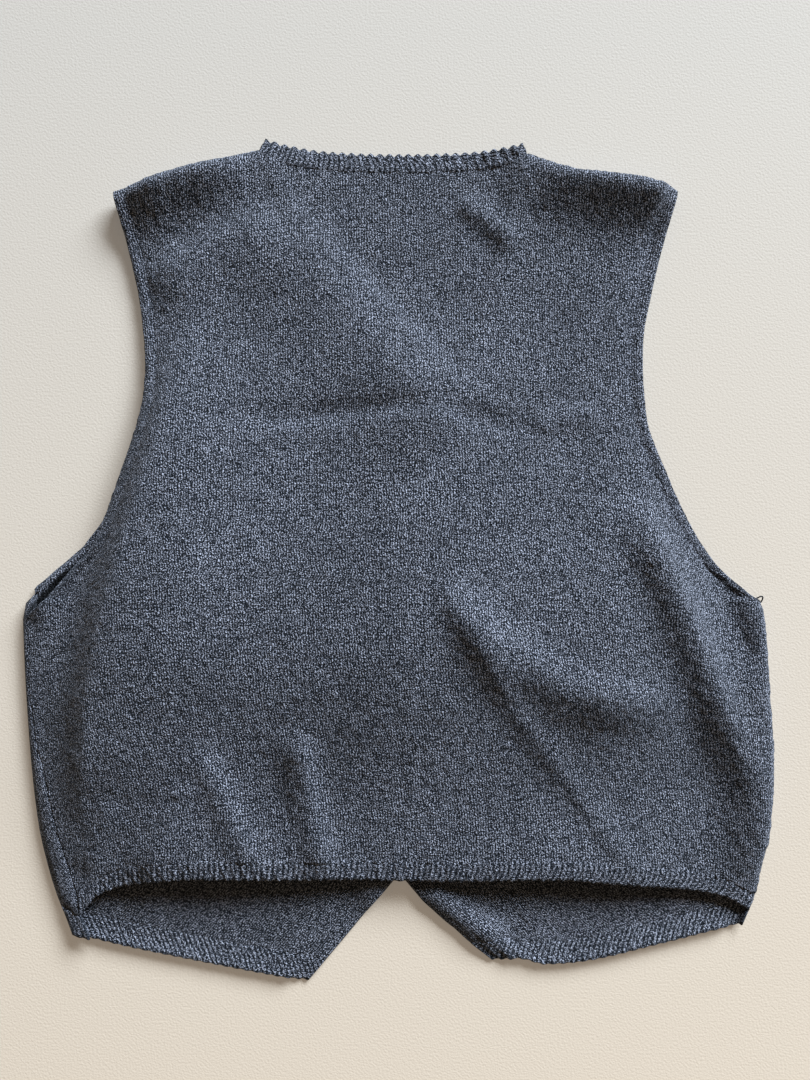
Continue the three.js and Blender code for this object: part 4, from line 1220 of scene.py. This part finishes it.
# Camera, light and floor
CAMERA_PLACE = (4.62, 13.53, 535.5)
FRAME_HEIGHT_PX = 1080
MM_PER_PX = 0.66
SENSOR = 36.0
WINDOW = {
    "distance": 6.5,
    "azimuth": 34,
    "elevation": 22,
    "size": (4.6, 2.2),
    "power": 1090.0,
    "colour": (0.86, 0.94, 1.0),
}
ROOM_COLOUR = (1.0, 0.76, 0.5, 1)
ROOM_STRENGTH = 0.14
FLOOR_HALF = 3.0


def add_camera():
    camera = bpy.data.cameras.new("camera")
    camera.sensor_width = SENSOR
    camera.lens = SENSOR * CAMERA_PLACE[2] / (FRAME_HEIGHT_PX * MM_PER_PX)
    camera.clip_start = 0.01
    holder = bpy.data.objects.new("camera", camera)
    holder.location = [value * MM for value in CAMERA_PLACE]
    bpy.context.scene.collection.objects.link(holder)
    bpy.context.scene.camera = holder


def add_area_light(name, distance, azimuth, elevation, size, power, colour):
    """A soft light that faces the part. Azimuth 0 is up the page, and 90 is to its right."""
    turn, rise = math.radians(azimuth), math.radians(elevation)
    flat = distance * math.cos(rise)
    lamp = bpy.data.lights.new(name, "AREA")
    lamp.shape = "RECTANGLE"
    lamp.size, lamp.size_y = size
    lamp.energy = power
    lamp.color = colour
    holder = bpy.data.objects.new(name, lamp)
    holder.location = (flat * math.sin(turn), flat * math.cos(turn), distance * math.sin(rise))
    holder.rotation_euler = (math.pi / 2 - rise, 0, math.pi - turn)
    bpy.context.scene.collection.objects.link(holder)


def add_light():
    add_area_light("window", **WINDOW)
    world = bpy.data.worlds.new("room")
    world.use_nodes = True
    background = world.node_tree.nodes["Background"]
    background.inputs["Color"].default_value = ROOM_COLOUR
    background.inputs["Strength"].default_value = ROOM_STRENGTH
    bpy.context.scene.world = world


def add_floor(material):
    low, high = -FLOOR_HALF, FLOOR_HALF
    mesh = bpy.data.meshes.new("floor")
    mesh.from_pydata([(low, low, 0), (high, low, 0), (high, high, 0), (low, high, 0)], [], [(0, 1, 2, 3)])
    floor = bpy.data.objects.new("floor", mesh)
    mesh.materials.append(material)
    bpy.context.scene.collection.objects.link(floor)


def dress(piece, material, slot, *nodes):
    piece.data.materials.clear()
    piece.data.materials.append(material)
    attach(piece, "root")
    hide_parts(*nodes)


LOOP_YARN = 0.45
LOOSE_LOOP = [
    (236.5, -28.5, 4.5),
    (238.6, -24.5, 6.5),
    (237.4, -22.2, 7),
    (235.2, -24, 6),
    (233.5, -25.5, 4),
]


def loose_loop(material):
    """The end of yarn that stands out of the right side's seam at the underarm."""
    curve = bpy.data.curves.new("loose_loop", "CURVE")
    curve.dimensions = "3D"
    curve.bevel_depth = LOOP_YARN * MM
    line = curve.splines.new("NURBS")
    line.points.add(len(LOOSE_LOOP) - 1)
    for point, place in zip(line.points, LOOSE_LOOP):
        point.co = (*(value * MM for value in place), 1)
    line.use_endpoint_u = True
    loop = bpy.data.objects.new("loose_loop", curve)
    bpy.context.scene.collection.objects.link(loop)
    curve.materials.append(material)
    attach(loop, "root")


def build_back(knit, rib_knit):
    back, points = back_piece("back_panel")
    dress(back, knit, "knit", "back")
    hem_ends = (BACK_HEM["x"][0], BACK_HEM["x"][-1])
    hem = back_band_piece("back_hem_band", points[0], hem_ends, back_hem_y, RIB_PITCH)
    dress(hem, rib_knit, "knit_rib", "back_hem_rib")
    top = points[-1]
    at_neck = (top[:, 0] > LEFT_CORNER[0] - SEAM) & (top[:, 0] < RIGHT_CORNER[0] + SEAM)
    neck_ends = (LEFT_HORN[0], RIGHT_HORN[0])
    neck = back_band_piece("neck_band", top[at_neck], neck_ends, neck_edge_y, RIB_PITCH, NECK_RIB_GAIN)
    dress(neck, rib_knit, "knit_rib", "neck_rib")


def build_front(side, front, knit, rib_knit):
    panel, points = front_piece(f"front_{side}_panel", front, FRONT_STEPS[side])
    dress(panel, knit, "knit", f"front_{side}")
    hem = front_hem_piece(f"front_{side}_hem_band", front, points)
    dress(hem, rib_knit, "knit_rib", f"front_{side}_hem_rib")
    band = front_neck_piece(f"front_{side}_neck_band", front, points)
    dress(band, rib_knit, "knit_rib", f"front_{side}_neck_rib")


def build_buttons(material):
    for number in range(1, BUTTON_COUNT + 1):
        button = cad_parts[f"button_{number}"]
        button.data.materials.clear()
        button.data.materials.append(material)


def build():
    knit = knit_material("knit", STITCH_SHARE["plain"])
    # The left front's knit has painted shade in its armhole gap.
    gap_painted_shade_knit = knit_material("knit_painted_gap_shade", STITCH_SHARE["plain"], with_painted_gap_shade=True)
    rib_knit = knit_material("knit_rib", STITCH_SHARE["rib"], ribbed=True)
    build_back(knit, rib_knit)
    build_front("left", FRONTS["left"], gap_painted_shade_knit, rib_knit)
    build_front("right", FRONTS["right"], knit, rib_knit)
    loose_loop(knit)
    build_buttons(button_material())


bpy.context.scene.view_settings.view_transform = "Standard"
add_camera()
add_light()
add_floor(floor_material())
build()
